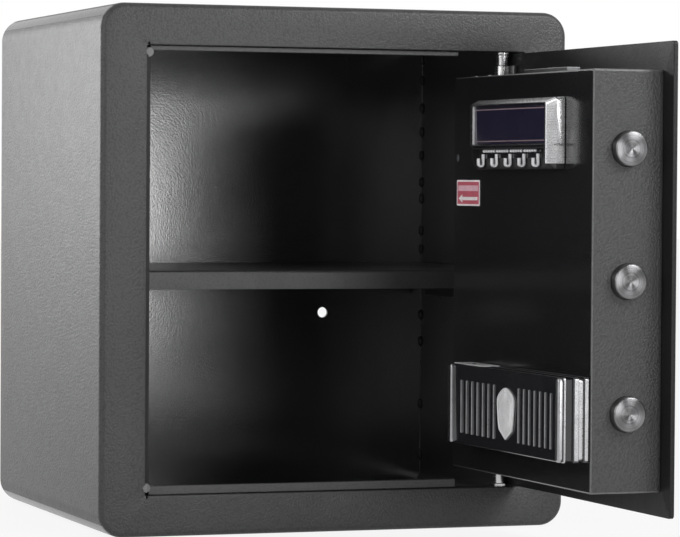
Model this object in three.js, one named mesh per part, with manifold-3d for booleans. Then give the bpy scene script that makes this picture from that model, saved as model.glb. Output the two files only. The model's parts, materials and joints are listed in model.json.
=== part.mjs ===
// Home safe: a welded steel cabinet with one shelf and a hinged door that carries three round
// bolts, their drive, a keypad lock, a control unit with key hooks and a battery box.
// Millimetres, +Z up. The origin is the centre of the cabinet's underside, and the front faces -Y.
import * as THREE from 'three';
import { mergeVertices } from 'three/addons/utils/BufferGeometryUtils.js';
import Module from 'manifold-3d';

const wasm = await Module();
wasm.setup();

// Driving dimensions. Inside the cabinet, x runs from its left side, y from its front face and z
// from its underside. Every door size is given with the door closed.

// Gap that separate pieces keep where they touch
const seatGap = 0.3;

// Depth by which joined solids run into each other and cuts run out of a face
const lap = 1;

// What a full round end leaves straight
const roundTrim = 0.01;

// A tool that passes well through a wall
const through = 20;

// Cabinet
const cabinetWidth = 422;
const cabinetDepth = 350;
const cabinetHeight = 450;
const cabinetSheet = 3;
const cabinetCornerRadius = 21;
const sideBorder = 40;
const endBorder = 35;
const sideReturnDepth = 17;
const endReturnDepth = 22;
const anchorHoleDiameter = 10;
const anchorHoleSpacing = 212.8;
const backAnchorHeight = 174.7;
const floorAnchorFromFront = 230;

// Door stops, strips welded behind the top and the bottom of the opening
const stopThickness = 4;
const topStopHeight = 4.2;
const bottomStopHeight = 7.6;
const stopLockInset = 4;
const stopHingeInset = 60;

// Shelf and its rails
const shelfTopHeight = 223;
const shelfLip = 16.5;
const shelfSheet = 2;
const shelfFromFront = 70;
const shelfSideGap = 2;
const shelfBackGap = 3;
const railLength = 240;
const railFromFront = 90;
const railLeg = 14;
const railSheet = 2.5;

// Hinge
const doorAngle = 91;
const hingeFromEdge = 16;
const hingeFromFront = 11.5;
const hingePinDiameter = 10;
const hingeSpigotDiameter = 8;
const bushWall = 1.7;
const bushFlangeDiameter = 14;
const bushFlangeThickness = 2;
const bracketHeight = 13.5;
const bracketFromOpeningEnd = 11.5;
const bracketWidth = 27;
const bracketDepth = 15.2;
const bracketFromPlateEdge = 2;

// Door plate and the box on its inner side
const plateThickness = 4;
const plateLockGap = 1.5;
const plateHingeGap = 3;
const plateEndGap = 1.5;
const boxDepth = 65;
const boxSheet = 2;
const boxCornerRadius = 2;
const boxLockMargin = 17.5;
const boxHingeMargin = 34;
const boxBottomMargin = 19.5;
const boxTopMargin = 22.5;
const topStripLength = 86;
const topStripWidth = 12;
const topStripThickness = 3.2;
const topStripFromBoxSide = 69;
const topStripFromFace = 8;

// Bolts and their guide
const boltDiameter = 28;
const boltLength = 62;
const boltChamfer = 1;
const boltPitch = 104.7;
const boltsBelowDoorCentre = 1.5;
const boltAxisDepth = 34.3;
const boltRestProtrusion = 7.5;
const boltThrow = 22;
const boltRunningGap = 0.4;
const guidePlateThickness = 4;
const guidePlateEndMargin = 22;

// Bolt carrier, its guide posts and the crank that moves it
const carrierSheet = 3;
const carrierFaceGap = 8;
const carrierWidth = 54;
const carrierEndMargin = 22;
const tongueLength = 44;
const tongueHeight = 60;
const tongueBelowSpindle = 33;
const postDiameter = 14;
const postNeckDiameter = 8;
const postSpacing = 125;
const postFromBolts = 13.5;
const postHeadThickness = 2;
const postSlotGap = 0.4;
const crankThickness = 4;
const crankHubWall = 4;
const crankEndWall = 3;
const crankPinDiameter = 6;
const crankSlotGap = 1;

// Handle
const handleFromBoxSide = 106;
const handleBelowBolts = 18.5;
const spindleDiameter = 10;
const spindleHoleGap = 1;
const knobDiameter = 40;
const knobBaseThickness = 7;
const knobEdge = 2;
const knobGripHeight = 17;
const knobGripWidth = 13;
const knobGripRadius = 6;
const knobSocketDepth = 10;
const roseDiameter = 44;
const roseThickness = 6;
const roseEdge = 2;

// Solenoid that holds the carrier
const solenoidSize = 22;
const solenoidLength = 36;
const plungerDiameter = 6;
const plungerFromSpindle = 15;
const plungerBelowSpindle = 20;
const plungerBoreDepth = 22;

// Emergency key lock and its cover
const overrideFromHandle = 85;
const overrideBarrelDiameter = 24;
const overrideBarrelLength = 24;
const overrideFlangeDiameter = 30;
const overrideFlangeThickness = 4;
const overrideEndWall = 3;
const cylinderDiameter = 15.4;
const cylinderSunk = 0.5;
const keySlotWidth = 2.4;
const keySlotHeight = 9;
const keySlotDepth = 16;
const coverThickness = 2;
const coverNeckWidth = 10;
const coverPivotRise = 24;
const coverPinDiameter = 4;

// Keypad on the front of the door
const keypadWidth = 96;
const keypadHeight = 136;
const keypadThickness = 15;
const keypadWall = 2.2;
const keypadCornerRadius = 12;
const keypadCentreX = 205;
const keypadCentreBelowPlateTop = 89.5;
const keyWidth = 20;
const keyHeight = 14;
const keyColumns = 3;
const keyRows = 4;
const keyPitchX = 27;
const keyPitchZ = 20;
const keyProud = 2.2;
const keyFlange = 1.5;
const keyFlangeMargin = 1.2;
const keyDepth = 4;
const keyCornerRadius = 3;
const keysBelowCentre = 18;
const lensWidth = 62;
const lensHeight = 18;
const lensThickness = 1.4;
const lensAboveCentre = 46;

// Control unit with its window and key hooks, on the door's inner face
const controlFromBoxSide = 54;
const controlWidth = 164;
const controlHeight = 60;
const controlBelowBoxTop = 19;
const controlDepth = 14;
const controlBaseDepth = 7;
const controlBevel = 5;
const controlWall = 2;
const hookRecessHeight = 11.8;
const hookRecessDepth = 6.5;
const windowInset = 3;
const windowThickness = 1.6;
const boardThickness = 1.6;
const hookCount = 5;
const hookPitch = 28.4;
const hookRailOffset = 6;
const hookWidth = 4.5;
const hookReach = 6.4;
const hookStrip = 1.5;
const hookTipHeight = 9;
const hookHeight = 12.5;
const hookStripHeight = 4;
const hookRise = 1.5;

// Label and reset button, on the door's inner face
const labelWidth = 50.5;
const labelHeight = 22;
const labelThickness = 0.4;
const labelFromBoxHinge = 8;
const labelBelowControl = 20;
const resetDiameter = 6;
const resetFlangeDiameter = 9;
const resetFlangeThickness = 1.5;
const resetLength = 9;
const resetFromBoxHinge = 8;
const resetAboveControlBottom = 10;
const resetSunk = 0.5;

// Battery box
const batteryBoxFromBoxSide = 3;
const batteryBoxWidth = 229;
const batteryBoxHeight = 67;
const batteryBoxAboveBoxBottom = 25;
const batteryBoxDepth = 21.5;
const batteryBoxWall = 2;
const batteryBoxStep = 1.5;
const batteryBoxSteps = [0, 3.5, 8.5, 12.5];
const lidThickness = 2;
const lidRidgeWidth = 7;
const lidRidgeHeight = 2.5;
const lidRibHeight = 1.4;
const lidRibWidth = 2;
const lidRibLength = 44.5;
const lidRibPitch = 11;
const lidRibsFromLockRidge = 1;
const lidRibsFromHingeRidge = 12;
const lidRibsFromEmblem = 25.5;
const emblemFromCentre = -3.5;
const emblemDrop = 1.8;
const emblemWidth = 36;
const emblemHeight = 42.4;
const emblemThickness = 2.5;
const emblemShoulder = 0.82;
const emblemHip = 0.2;
const emblemHipWidth = 0.62;
const emblemArch = 0.8;
const batteryDiameter = 14.5;
const batteryLength = 50.5;
const batteryTerminalDiameter = 4.8;
const batteryTerminalLength = 1;
const cradleBelowBattery = 3;
const batteryRowPitch = 17;
const batteryColumnPitch = 54;
const leadDiameter = 4;
const leadFromBoxSide = 196;
const leadStraight = 8;
const leadBend = 16;
const leadBelowBatteryBox = 14;
const leadAboveControl = 26;

// Places that follow from the driving dimensions
const openingX = [sideBorder, cabinetWidth - sideBorder];
const openingZ = [endBorder, cabinetHeight - endBorder];
const hinge = [openingX[1] - hingeFromEdge, hingeFromFront];

const plateX = [openingX[0] + plateLockGap, openingX[1] - plateHingeGap];
const plateZ = [openingZ[0] + plateEndGap, openingZ[1] - plateEndGap];
const plateBack = plateThickness + seatGap;

const boxX = [plateX[0] + boxLockMargin, plateX[1] - boxHingeMargin];
const boxZ = [plateZ[0] + boxBottomMargin, plateZ[1] - boxTopMargin];
const boxInside = boxDepth - boxSheet;
const onFace = boxDepth + seatGap;

const boltTip = boxX[0] - boltRestProtrusion;
const boltMiddleHeight = middle(plateZ) - boltsBelowDoorCentre;
const boltHeights = [-1, 0, 1].map((step) => boltMiddleHeight + step * boltPitch);
const boltHoleDiameter = boltDiameter + 2 * boltRunningGap;
const guidePlateX = boxX[0] + boxSheet + seatGap;

const handleHeight = boltMiddleHeight - handleBelowBolts;
const carrierX = boltTip + boltLength + seatGap;
const carrierY = [boxInside - carrierFaceGap - carrierSheet, boxInside - carrierFaceGap];
const carrierZ = [boltHeights[0] - carrierEndMargin, boltHeights[2] + carrierEndMargin];
const tongueEnd = carrierX + carrierWidth + tongueLength;
const tongueZ = [handleHeight - tongueBelowSpindle, handleHeight - tongueBelowSpindle + tongueHeight];

const spindleX = boxX[0] + handleFromBoxSide;
const crankReach = boltThrow / 2;
const crankRadius = crankReach * Math.SQRT2;
const crankPinX = spindleX + crankReach;
const crankPinZ = handleHeight + crankReach;
const crankY = [carrierY[0] - crankThickness - carrierSheet, carrierY[0] - carrierSheet];

const plungerX = spindleX + plungerFromSpindle;
const plungerZ = handleHeight - plungerBelowSpindle;
const postX = carrierX + postFromBolts;
const postHeights = [-1, 1].map((side) => boltMiddleHeight + side * postSpacing / 2);

const overrideX = spindleX + overrideFromHandle;
const overrideHeight = handleHeight;
const keypadCentreHeight = plateZ[1] - keypadCentreBelowPlateTop;

const controlX = [boxX[0] + controlFromBoxSide, boxX[0] + controlFromBoxSide + controlWidth];
const controlZ = [boxZ[1] - controlBelowBoxTop - controlHeight, boxZ[1] - controlBelowBoxTop];
const controlFront = onFace + controlDepth;

const batteryBoxX = [boxX[0] + batteryBoxFromBoxSide, boxX[0] + batteryBoxFromBoxSide + batteryBoxWidth];
const batteryBoxBottom = boxZ[0] + batteryBoxAboveBoxBottom;
const batteryBoxZ = [batteryBoxBottom, batteryBoxBottom + batteryBoxHeight];
const batteryBoxFront = onFace + batteryBoxDepth;
const batteryBoxFloor = onFace + batteryBoxSteps[1];
const batteryBoxCentre = [middle(batteryBoxX), middle(batteryBoxZ)];
const emblemX = batteryBoxCentre[0] + emblemFromCentre;
const emblemZ = batteryBoxCentre[1] - emblemDrop;
const leadX = boxX[0] + leadFromBoxSide;
const labelCentreHeight = controlZ[0] - labelBelowControl;
const resetHeight = controlZ[0] + resetAboveControlBottom;

// Finishes
const finish = (colour, roughness, metalness) =>
  new THREE.MeshStandardMaterial({ color: colour, roughness, metalness });
const powderCoat = finish(0x4a4a4c, 0.55, 0.3);
const darkCoat = finish(0x2b2b2d, 0.5, 0.3);
const brightSteel = finish(0xc4c6c8, 0.28, 0.9);
const plainSteel = finish(0x8c8f92, 0.4, 0.85);
const chrome = finish(0xd8dadc, 0.12, 1);
const blackGloss = finish(0x16171a, 0.18, 0.1);
const blackPlastic = finish(0x1d1e20, 0.45, 0.05);
const windowBlue = finish(0x1a1c2c, 0.2, 0.1);
const keyGrey = finish(0x53565a, 0.5, 0);
const labelRed = finish(0x9c3346, 0.5, 0);
const boardGreen = finish(0x1f5a3a, 0.5, 0.1);
const batteryCase = finish(0x2f3034, 0.35, 0.3);
const leadRed = finish(0x8a1f1f, 0.5, 0);

// Solids
function middle(range) {
  return (range[0] + range[1]) / 2;
}

function solid(geometry) {
  geometry.deleteAttribute('normal');
  geometry.deleteAttribute('uv');
  const { attributes, index } = mergeVertices(geometry, 1e-4);
  return new wasm.Manifold(new wasm.Mesh({
    numProp: 3,
    vertProperties: attributes.position.array,
    triVerts: new Uint32Array(index.array),
  }));
}

function joined(...solids) {
  return solids.reduce((whole, piece) => whole.add(piece));
}

function cut(whole, ...tools) {
  return tools.reduce((rest, tool) => rest.subtract(tool), whole);
}

function block(x, y, z) {
  const [width, depth, height] = [x, y, z].map((range) => range[1] - range[0]);
  return solid(new THREE.BoxGeometry(width, depth, height).translate(middle(x), middle(y), middle(z)));
}

const xAxis = new THREE.Vector3(1, 0, 0);
const yAxis = new THREE.Vector3(0, 1, 0);
const zAxis = new THREE.Vector3(0, 0, 1);
const backwards = yAxis.clone().negate();
const downwards = zAxis.clone().negate();

// A shape drawn across the axis, in the two other axes' order, and drawn out along it
function extruded(shape, axis, [from, to], curveSegments = 3) {
  const geometry = new THREE.ExtrudeGeometry(shape, { depth: to - from, bevelEnabled: false, curveSegments });
  if (axis === 'x') {
    geometry.applyMatrix4(new THREE.Matrix4().makeBasis(yAxis, zAxis, xAxis)).translate(from, 0, 0);
  } else if (axis === 'y') {
    geometry.applyMatrix4(new THREE.Matrix4().makeBasis(xAxis, zAxis, backwards)).translate(0, to, 0);
  } else {
    geometry.translate(0, 0, from);
  }
  return solid(geometry);
}

// A round solid along an axis, made of steps, each from one place to the next with its radius or
// its two end radii
function turned(axis, [across, up], steps, segments = 24) {
  return joined(...steps.map(([from, to, startRadius, endRadius = startRadius]) => {
    const geometry = new THREE.CylinderGeometry(endRadius, startRadius, to - from, segments);
    geometry.translate(0, (from + to) / 2, 0);
    if (axis === 'x') {
      geometry.applyMatrix4(new THREE.Matrix4().makeBasis(yAxis, xAxis, downwards)).translate(0, across, up);
    } else if (axis === 'y') {
      geometry.translate(across, 0, up);
    } else {
      geometry.applyMatrix4(new THREE.Matrix4().makeBasis(xAxis, zAxis, backwards)).translate(across, up, 0);
    }
    return solid(geometry);
  }));
}

function roundedRect([left, right], [low, high], radius) {
  const shape = new THREE.Shape();
  shape.absarc(right - radius, low + radius, radius, -Math.PI / 2, 0, false);
  shape.absarc(right - radius, high - radius, radius, 0, Math.PI / 2, false);
  shape.absarc(left + radius, high - radius, radius, Math.PI / 2, Math.PI, false);
  shape.absarc(left + radius, low + radius, radius, Math.PI, Math.PI * 1.5, false);
  return shape;
}

function grown([from, to], by) {
  return [from - by, to + by];
}

function around(centre, size) {
  return [centre - size / 2, centre + size / 2];
}

// Cabinet
function cabinetShell() {
  const inside = [cabinetSheet, cabinetWidth - cabinetSheet];
  const insideZ = [cabinetSheet, cabinetHeight - cabinetSheet];
  const outer = roundedRect([0, cabinetWidth], [0, cabinetHeight], cabinetCornerRadius);
  const inner = roundedRect(inside, insideZ, cabinetCornerRadius - cabinetSheet);
  const body = cut(
    extruded(outer, 'y', [0, cabinetDepth], 5),
    extruded(inner, 'y', [cabinetSheet, cabinetDepth + through], 5),
    block(openingX, [-through, through], openingZ),
  );
  const lockReturn = block(
    [openingX[0] - cabinetSheet, openingX[0]],
    [0, sideReturnDepth],
    grown(openingZ, cabinetSheet),
  );
  const topReturn = block(openingX, [0, endReturnDepth], [openingZ[1], openingZ[1] + cabinetSheet]);
  const bottomReturn = block(openingX, [0, endReturnDepth], [openingZ[0] - cabinetSheet, openingZ[0]]);
  const bushHole = turned('z', hinge, [
    [openingZ[0] - through, openingZ[1] + through, bushRadius() + seatGap],
  ]);
  const floorAnchors = anchorPlaces().map((x) => turned('z', [x, floorAnchorFromFront], [
    [-through, through, anchorHoleDiameter / 2],
  ], 16));
  return cut(joined(body, lockReturn, topReturn, bottomReturn), bushHole, ...floorAnchors);
}

function anchorPlaces() {
  return [-1, 1].map((side) => cabinetWidth / 2 + side * anchorHoleSpacing / 2);
}

function backPanel() {
  const inset = cabinetSheet + seatGap;
  const shape = roundedRect(
    [inset, cabinetWidth - inset],
    [inset, cabinetHeight - inset],
    cabinetCornerRadius - inset,
  );
  const anchors = anchorPlaces().map((x) => turned('y', [x, backAnchorHeight], [
    [cabinetDepth - through, cabinetDepth + through, anchorHoleDiameter / 2],
  ], 16));
  return cut(extruded(shape, 'y', [cabinetDepth - cabinetSheet, cabinetDepth], 5), ...anchors);
}

function doorStop(low, height) {
  const front = plateBack + seatGap;
  const x = [openingX[0] + stopLockInset, openingX[1] - stopHingeInset];
  return block(x, [front, front + stopThickness], [low, low + height]);
}

function shelf() {
  const x = grown([cabinetSheet, cabinetWidth - cabinetSheet], -shelfSideGap);
  const y = [shelfFromFront, cabinetDepth - cabinetSheet - shelfBackGap];
  const z = [shelfTopHeight - shelfLip, shelfTopHeight];
  return cut(
    block(x, y, z),
    block(grown(x, -shelfSheet), grown(y, -shelfSheet), [z[0] - through, z[1] - shelfSheet]),
  );
}

// An angle on a side wall: one leg on the wall, the other under the shelf's edge
function shelfRail(side) {
  const top = shelfTopHeight - shelfLip - seatGap;
  const y = [railFromFront, railFromFront + railLength];
  const wall = cabinetSheet + seatGap;
  const place = (from, to) => (side < 0 ? [from, to] : [cabinetWidth - to, cabinetWidth - from]);
  return joined(
    block(place(wall, wall + railLeg), y, [top - railSheet, top]),
    block(place(wall, wall + railSheet), y, [top - railLeg, top]),
  );
}

// Hinge
function bushRadius() {
  return hingeSpigotDiameter / 2 + seatGap + bushWall;
}

// Runs a list of steps, given from the opening's end towards its middle, at its top or bottom
function fromOpeningEnd(atTop, steps) {
  return steps.map(([start, end, radius]) => (atTop
    ? [openingZ[1] - end, openingZ[1] - start, radius]
    : [openingZ[0] + start, openingZ[0] + end, radius]));
}

function hingeBush(atTop) {
  const flangeEnd = seatGap + bushFlangeThickness;
  const outside = turned('z', hinge, fromOpeningEnd(atTop, [
    [-cabinetSheet, flangeEnd, bushRadius()],
    [seatGap, flangeEnd, bushFlangeDiameter / 2],
  ]));
  const bore = turned('z', hinge, fromOpeningEnd(atTop, [
    [-through, through, hingeSpigotDiameter / 2 + seatGap],
  ]));
  return cut(outside, bore);
}

function hingePin(atTop) {
  const shoulder = seatGap + bushFlangeThickness + seatGap;
  return turned('z', hinge, fromOpeningEnd(atTop, [
    [-cabinetSheet - lap, shoulder + lap, hingeSpigotDiameter / 2],
    [shoulder, bracketFromOpeningEnd + bracketHeight, hingePinDiameter / 2],
  ]));
}

function hingeBracket(atTop) {
  const end = bracketFromOpeningEnd + seatGap;
  const z = atTop
    ? [openingZ[1] - end - bracketHeight, openingZ[1] - end]
    : [openingZ[0] + end, openingZ[0] + end + bracketHeight];
  const right = plateX[1] - bracketFromPlateEdge;
  const body = block([right - bracketWidth, right], [plateBack, plateBack + bracketDepth], z);
  return cut(body, turned('z', hinge, [[z[0] - through, z[1] + through, hingePinDiameter / 2 + seatGap]]));
}

// Door
function doorPlate() {
  const wall = [-through, through];
  const holes = [
    turned('y', [spindleX, handleHeight], [[...wall, spindleDiameter / 2 + spindleHoleGap]]),
    turned('y', [overrideX, overrideHeight], [[...wall, overrideBarrelDiameter / 2 + seatGap]]),
    turned('y', [overrideX, overrideHeight + coverPivotRise], [
      [...wall, coverPinDiameter / 2 + seatGap],
    ], 16),
  ];
  return cut(block(plateX, [0, plateThickness], plateZ), ...holes);
}

function doorBox() {
  const outline = roundedRect(boxX, boxZ, boxCornerRadius);
  const hollow = block(grown(boxX, -boxSheet), [plateBack - through, boxInside], grown(boxZ, -boxSheet));
  const boltHoles = boltHeights.map((z) => turned('x', [boltAxisDepth, z], [
    [boxX[0] - through, boxX[0] + through, boltHoleDiameter / 2],
  ]));
  const faceHoles = [
    turned('y', [boxX[1] - resetFromBoxHinge, resetHeight], [
      [boxInside - through, boxDepth + through, resetDiameter / 2 + seatGap],
    ], 24),
    ...leadEnds().map((z) => turned('y', [leadX, z], [
      [boxInside - through, boxDepth + through, leadDiameter / 2 + seatGap],
    ], 16)),
  ];
  return cut(extruded(outline, 'y', [plateBack, boxDepth], 1), hollow, ...boltHoles, ...faceHoles);
}

function topStrip() {
  const x = [boxX[0] + topStripFromBoxSide, boxX[0] + topStripFromBoxSide + topStripLength];
  const back = boxDepth - topStripFromFace;
  const low = boxZ[1] + seatGap;
  return block(x, [back - topStripWidth, back], [low, low + topStripThickness]);
}

// Bolts and their drive
function bolt(z) {
  const radius = boltDiameter / 2;
  return turned('x', [boltAxisDepth, z], [
    [boltTip, boltTip + boltChamfer, radius - boltChamfer, radius],
    [boltTip + boltChamfer, boltTip + boltLength, radius],
  ], 36);
}

function boltGuidePlate() {
  const plate = block(
    [guidePlateX, guidePlateX + guidePlateThickness],
    [plateBack, boxInside - seatGap],
    grown([boltHeights[0], boltHeights[2]], boltDiameter / 2 + guidePlateEndMargin),
  );
  const holes = boltHeights.map((z) => turned('x', [boltAxisDepth, z], [
    [guidePlateX - lap, guidePlateX + through, boltHoleDiameter / 2],
  ]));
  return cut(plate, ...holes);
}

function slotShape(x, z, radius) {
  return roundedRect(grown(x, radius), grown(z, radius), radius - roundTrim);
}

function boltCarrier() {
  const main = block([carrierX, carrierX + carrierWidth], carrierY, carrierZ);
  const flange = block(
    [carrierX, carrierX + carrierSheet],
    [boltAxisDepth - boltDiameter / 2, carrierY[1]],
    carrierZ,
  );
  const tongue = block([carrierX + carrierWidth - lap, tongueEnd], carrierY, tongueZ);
  const wall = grown(carrierY, lap);
  const postSlots = postHeights.map((z) => extruded(
    slotShape([postX, postX + boltThrow], [z, z], postNeckDiameter / 2 + postSlotGap),
    'y',
    wall,
  ));
  const crankSlot = extruded(
    slotShape(
      [crankPinX, crankPinX],
      [crankPinZ, handleHeight + crankRadius],
      crankPinDiameter / 2 + crankSlotGap,
    ),
    'y',
    wall,
  );
  const lockHoles = [0, boltThrow].map((shift) => turned('y', [plungerX + shift, plungerZ], [
    [...wall, plungerDiameter / 2 + seatGap],
  ], 24));
  return cut(joined(main, flange, tongue), ...postSlots, crankSlot, ...lockHoles);
}

// A post welded to the plate, necked where the carrier slides on it
function guidePost(z) {
  const neck = carrierY[0] - seatGap;
  const head = carrierY[1] + seatGap;
  return turned('y', [postX, z], [
    [plateBack, neck, postDiameter / 2],
    [neck - lap, head + lap, postNeckDiameter / 2],
    [head, head + postHeadThickness, postDiameter / 2],
  ], 24);
}

// Hub and arm on the spindle's end, with the pin that runs in the carrier's slot
function crank() {
  const hubRadius = spindleDiameter / 2 + crankHubWall;
  const armRadius = crankPinDiameter / 2 + crankEndWall;
  const hub = turned('y', [spindleX, handleHeight], [[...crankY, hubRadius]]);
  const end = turned('y', [crankPinX, crankPinZ], [[...crankY, armRadius]]);
  const arm = block([0, crankRadius], crankY, [-armRadius, armRadius])
    .rotate([0, -45, 0])
    .translate([spindleX, 0, handleHeight]);
  const pin = turned('y', [crankPinX, crankPinZ], [
    [crankY[0], carrierY[1] + postHeadThickness, crankPinDiameter / 2],
  ], 24);
  const socket = turned('y', [spindleX, handleHeight], [
    [crankY[0] - lap, crankY[1] + lap, spindleDiameter / 2 + seatGap],
  ]);
  return cut(joined(hub, end, arm, pin), socket);
}

function handleSpindle() {
  const knobFace = -seatGap - roseThickness - seatGap;
  return turned('y', [spindleX, handleHeight], [
    [knobFace - knobSocketDepth, crankY[1], spindleDiameter / 2],
  ]);
}

function handleRose() {
  const rose = turned('y', [spindleX, handleHeight], [
    [-seatGap - roseThickness, -seatGap - roseThickness / 2, roseDiameter / 2 - roseEdge, roseDiameter / 2],
    [-seatGap - roseThickness / 2, -seatGap, roseDiameter / 2],
  ], 40);
  const bore = turned('y', [spindleX, handleHeight], [
    [-through, through, spindleDiameter / 2 + spindleHoleGap],
  ]);
  return cut(rose, bore);
}

// A round base with a bar across it to grip
function handleKnob() {
  const back = -seatGap - roseThickness - seatGap;
  const baseFront = back - knobBaseThickness;
  const radius = knobDiameter / 2;
  const base = turned('y', [spindleX, handleHeight], [
    [baseFront, baseFront + knobEdge, radius - knobEdge, radius],
    [baseFront + knobEdge, back, radius],
  ], 40);
  const grip = extruded(
    roundedRect(around(spindleX, knobGripWidth), around(handleHeight, knobDiameter), knobGripRadius),
    'y',
    [baseFront - knobGripHeight, baseFront + lap],
  );
  const socket = turned('y', [spindleX, handleHeight], [
    [back - knobSocketDepth - seatGap, back + lap, spindleDiameter / 2 + seatGap],
  ]);
  return cut(joined(base, grip), socket);
}

function solenoidBody() {
  const y = [plateBack, plateBack + solenoidLength];
  const body = block(around(plungerX, solenoidSize), y, around(plungerZ, solenoidSize));
  const bore = turned('y', [plungerX, plungerZ], [
    [y[1] - plungerBoreDepth, y[1] + lap, plungerDiameter / 2 + seatGap],
  ], 24);
  return cut(body, bore);
}

function solenoidPlunger() {
  const bottom = plateBack + solenoidLength - plungerBoreDepth + seatGap;
  return turned('y', [plungerX, plungerZ], [[bottom, carrierY[0] - seatGap, plungerDiameter / 2]], 24);
}

// Emergency lock
function overrideLockBody() {
  const body = turned('y', [overrideX, overrideHeight], [
    [-seatGap - overrideFlangeThickness, -seatGap, overrideFlangeDiameter / 2],
    [-seatGap - lap, overrideBarrelLength, overrideBarrelDiameter / 2],
  ]);
  const bore = turned('y', [overrideX, overrideHeight], [
    [-through, overrideBarrelLength - overrideEndWall, cylinderDiameter / 2 + seatGap],
  ]);
  return cut(body, bore);
}

function overrideCylinder() {
  const front = -seatGap - overrideFlangeThickness + cylinderSunk;
  const plug = turned('y', [overrideX, overrideHeight], [
    [front, overrideBarrelLength - overrideEndWall - seatGap, cylinderDiameter / 2],
  ]);
  const slot = block(
    around(overrideX, keySlotWidth),
    [front - lap, front + keySlotDepth],
    around(overrideHeight, keySlotHeight),
  );
  return cut(plug, slot);
}

// A disc over the keyhole that swings aside on a pin above it
function keyholeCover() {
  const back = -seatGap - overrideFlangeThickness - seatGap;
  const pivot = overrideHeight + coverPivotRise;
  const wall = [back - coverThickness, back];
  const disc = turned('y', [overrideX, overrideHeight], [[...wall, overrideFlangeDiameter / 2]]);
  const neck = block(around(overrideX, coverNeckWidth), wall, [overrideHeight, pivot]);
  const eye = turned('y', [overrideX, pivot], [[...wall, coverNeckWidth / 2]], 24);
  const pin = turned('y', [overrideX, pivot], [[back - lap, plateThickness, coverPinDiameter / 2]], 16);
  return joined(disc, neck, eye, pin);
}

// Keypad
const keypadFront = -seatGap - keypadThickness;
const keyLabels = ['1', '2', '3', '4', '5', '6', '7', '8', '9', 'clear', '0', 'enter'];
const keyPlaces = keyLabels.map((label, index) => ({
  name: `key_${label}`,
  x: keypadCentreX + (index % keyColumns - (keyColumns - 1) / 2) * keyPitchX,
  z: keypadCentreHeight - keysBelowCentre
    + ((keyRows - 1) / 2 - Math.floor(index / keyColumns)) * keyPitchZ,
}));

function keyOutline({ x, z }, extra) {
  return roundedRect(
    around(x, keyWidth + 2 * extra),
    around(z, keyHeight + 2 * extra),
    keyCornerRadius + extra,
  );
}

function keypadHousing() {
  const x = around(keypadCentreX, keypadWidth);
  const z = around(keypadCentreHeight, keypadHeight);
  const outside = extruded(roundedRect(x, z, keypadCornerRadius), 'y', [keypadFront, -seatGap]);
  const inside = extruded(
    roundedRect(grown(x, -keypadWall), grown(z, -keypadWall), keypadCornerRadius - keypadWall),
    'y',
    [keypadFront + keypadWall, through],
  );
  const keyHoles = keyPlaces.map((place) => extruded(
    keyOutline(place, seatGap),
    'y',
    [keypadFront - lap, keypadFront + keypadWall + lap],
    1,
  ));
  const lensSeat = block(
    around(keypadCentreX, lensWidth + 2 * seatGap),
    [keypadFront - lap, keypadFront + lensThickness + seatGap],
    around(keypadCentreHeight + lensAboveCentre, lensHeight + 2 * seatGap),
  );
  return cut(outside, inside, ...keyHoles, lensSeat);
}

function displayLens() {
  return block(
    around(keypadCentreX, lensWidth),
    [keypadFront, keypadFront + lensThickness],
    around(keypadCentreHeight + lensAboveCentre, lensHeight),
  );
}

function key(place) {
  const flangeFront = keypadFront + keypadWall + seatGap;
  const cap = extruded(keyOutline(place, 0), 'y', [keypadFront - keyProud, flangeFront + keyDepth], 1);
  const flange = extruded(keyOutline(place, keyFlangeMargin), 'y', [flangeFront, flangeFront + keyFlange], 1);
  return joined(cap, flange);
}

// Control unit
function controlHousing() {
  const base = block(controlX, [onFace, onFace + controlBaseDepth], controlZ);
  const inner = (by) => [grown(controlX, -by), grown(controlZ, -by)];
  const layers = [0, 1, 2, 3].map((step) => {
    const inset = controlBevel * step / 3;
    const rise = (controlDepth - controlBaseDepth) / 4;
    const [x, z] = inner(inset);
    const start = onFace + controlBaseDepth + rise * step;
    return block(x, [start - lap, start + rise], z);
  });
  const [faceX, faceZ] = inner(controlBevel);
  const hookRecess = block(
    grown(faceX, -windowInset / 2),
    [controlFront - hookRecessDepth, controlFront + lap],
    [controlZ[0] - lap, faceZ[0] + hookRecessHeight],
  );
  const windowSeat = block(...windowPlace(seatGap));
  const hollow = block(
    grown(controlX, -controlBevel - controlWall),
    [onFace - lap, controlFront - hookRecessDepth - controlWall],
    grown(controlZ, -controlWall),
  );
  return cut(joined(base, ...layers), hookRecess, windowSeat, hollow);
}

function windowPlace(extra) {
  const x = grown(controlX, -controlBevel - windowInset + extra);
  const low = controlZ[0] + controlBevel + hookRecessHeight + windowInset / 2;
  return [
    x,
    [controlFront - windowThickness - extra, controlFront + (extra > 0 ? lap : 0)],
    [low - extra, controlZ[1] - controlBevel - windowInset / 2 + extra],
  ];
}

function controlBoard() {
  const front = controlFront - hookRecessDepth - controlWall - seatGap;
  return block(
    grown(controlX, -controlBevel - controlWall - seatGap),
    [front - boardThickness, front],
    grown(controlZ, -controlWall - seatGap),
  );
}

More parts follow.
